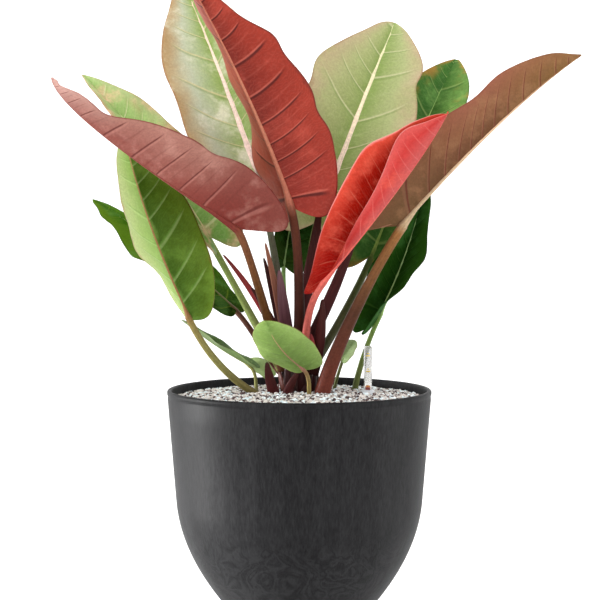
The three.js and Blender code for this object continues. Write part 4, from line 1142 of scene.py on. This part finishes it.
grow(
    "scarlet_new", "leaf_scarlet", "stalk_pink",
    upper=(("#df8b85", "#c44332", "#840f06", "#6c0703"), ("#d85a4c", "#d85040", "#c84030", "#a82418"),
           ("#e88a70", 0.12), ("#98180e", 0.1)),
    under=(("#d86a5c", "#d85a50", "#cc4a40", "#c04038"), ("#c57e7a", "#b94e4a", "#af3734", "#b35351"),
           ("#b83430", 0.12), ("#f0a8a0", 0.1)),
    stalk=("#7a3830", "#a04c44", "#bf5c52", "#c85a50", "#d0685c", "#e08a70"),
    # The foot shade darkens the blade towards its foot. It is painted shade: the shade in the low hollow of
    # the open half.
    patch=("#e46a54", 26, 0.25), foot_shade=("#7c0d09", 0.95),
    foot=(7, -17, 286), lean=(-2, -8, 30), neck=30, radii=(5, 3.6),
    base=(23, -38, 372), tip=(148, -95, 546), bow=(4, 4, -3), bend=0.75, face=(-0.3, -1, 0.1),
    half=52, seat=0.75, fold=(5, 110), curl=(25, 95), lobe=(0.15, 0), fan=1.3, arch=0.5,
    wave=1.5, waves=2, quilt=0.6, veins=13, columns=34, rib=(1.4, 0.8, 0.4, 0.8),
    relief=0.1, sheen=0.05, ior=1.2, fine=0.03,
    bumps=((-1, 0.84, 0.2, -19), (-1, 0.66, 0.1, -6), (-1, 0.14, 0.11, -12), (-1, 0.46, 0.15, 2),
           (1, 0.41, 0.3, -17), (1, 0.52, 0.6, -10), (1, 0.87, 0.12, -11), (1, 0.08, 0.12, -5)),
)
grow(
    "dark_low_right", "leaf_dark", "stalk_olive",
    upper=(("#18320b", "#224410", "#204210", "#18380d"), ("#18320b", "#274b13", "#224410", "#1b3a0d"),
           ("#3a5a21", 0.5), ("#092205", 0.4)),
    under=(("#1a320f", "#264919", "#224416", "#1e3e13"), ("#17310e", 0.5), ("#45652d", 0.3)),
    stalk=("#464726", "#606f38", "#607c38", "#94b06c", "#9cb878", "#84a860"),
    patch=("#3c6c34", 30, 0.4),
    foot=(57, 30, 240), lean=(6, 4, 42), neck=20, radii=(3.6, 2.6),
    base=(86, 36, 336), tip=(137, 56, 480), bow=(4, 0, -4), face=(-0.75, -0.6, 0.3), twist=80,
    half=36, fold=(60, 40), lobe=0.22,
    wave=2, quilt=0.9, veins=9, rib=(1.5, 0.8, 0.4, 0.7),
    gloss=0.45, sheen=0.05, ior=1.1,
    bumps=((1, 0.72, 0.2, -10), (1, 0.37, 0.1, 8), (-1, 0.05, 0.08, -4)),
)
grow(
    "tiny_right", "leaf_lime", "stalk_olive",
    upper=(("#7f8a5a", "#94a878", "#8aa06c", "#7a925c"), ("#b8c498", 0.4), ("#6c8850", 0.3)),
    under=(("#7f8458", "#8c9c70", "#849668", "#788a5a"), ("#6a8054", 0.4), ("#b8c498", 0.3)),
    stalk=("#585c38", "#585c38", "#5f633c", "#94a470", "#9cac78", "#94a470"),
    patch=("#a0b280", 16, 0.4),
    foot=(34, 30, 240), lean=(2, 0, 14), neck=8, radii=(2.2, 1.7),
    base=(46, 30, 287), tip=(61, 38, 308), bow=(0, 0, 2), face=(-0.4, -0.8, 0.4),
    half=10, fold=15, lobe=0.08, fan=1.5,
    wave=0.5, waves=2, quilt=0.2, veins=6, rows=60, columns=8, rib=(0.7, 0.8, 0.3, 0.7),
)
grow(
    "dark_centre", "leaf_dark", "stalk_olive",
    upper=(("#0c2002", "#142c05", "#112a05", "#0c2403"), ("#0f2503", "#173206", "#142f06", "#0f2904"),
           ("#48621e", 0.4), ("#0f2a04", 0.4)),
    under=(("#1a3108", "#25430e", "#213f0c", "#1c3909"), ("#152f06", 0.5), ("#415b1b", 0.3)),
    stalk=("#5a6a3c", "#7a9a58", "#7a9a58", "#90b070", "#94b474", "#80a45c"),
    patch=("#467a3c", 28, 0.4), tip_shade=("#142404", 0.8), foot_shade=("#3c5424", 0.6),
    foot=(-6, 15, 284), lean=(-6, 6, 30), neck=20, radii=(3.6, 2.4),
    base=(-17, 62, 390), tip=(0, 100, 490), bow=(0, -3, 3), face=(0, -1, 0.2),
    half=36, taper=0.4, fold=(60, 12), lobe=0.1,
    wave=2, waves=2, veins=9, rows=120, columns=20, rib=(1.4, 0.8, 0.4, 0.6),
    sheen=0.04, ior=1.05,
)
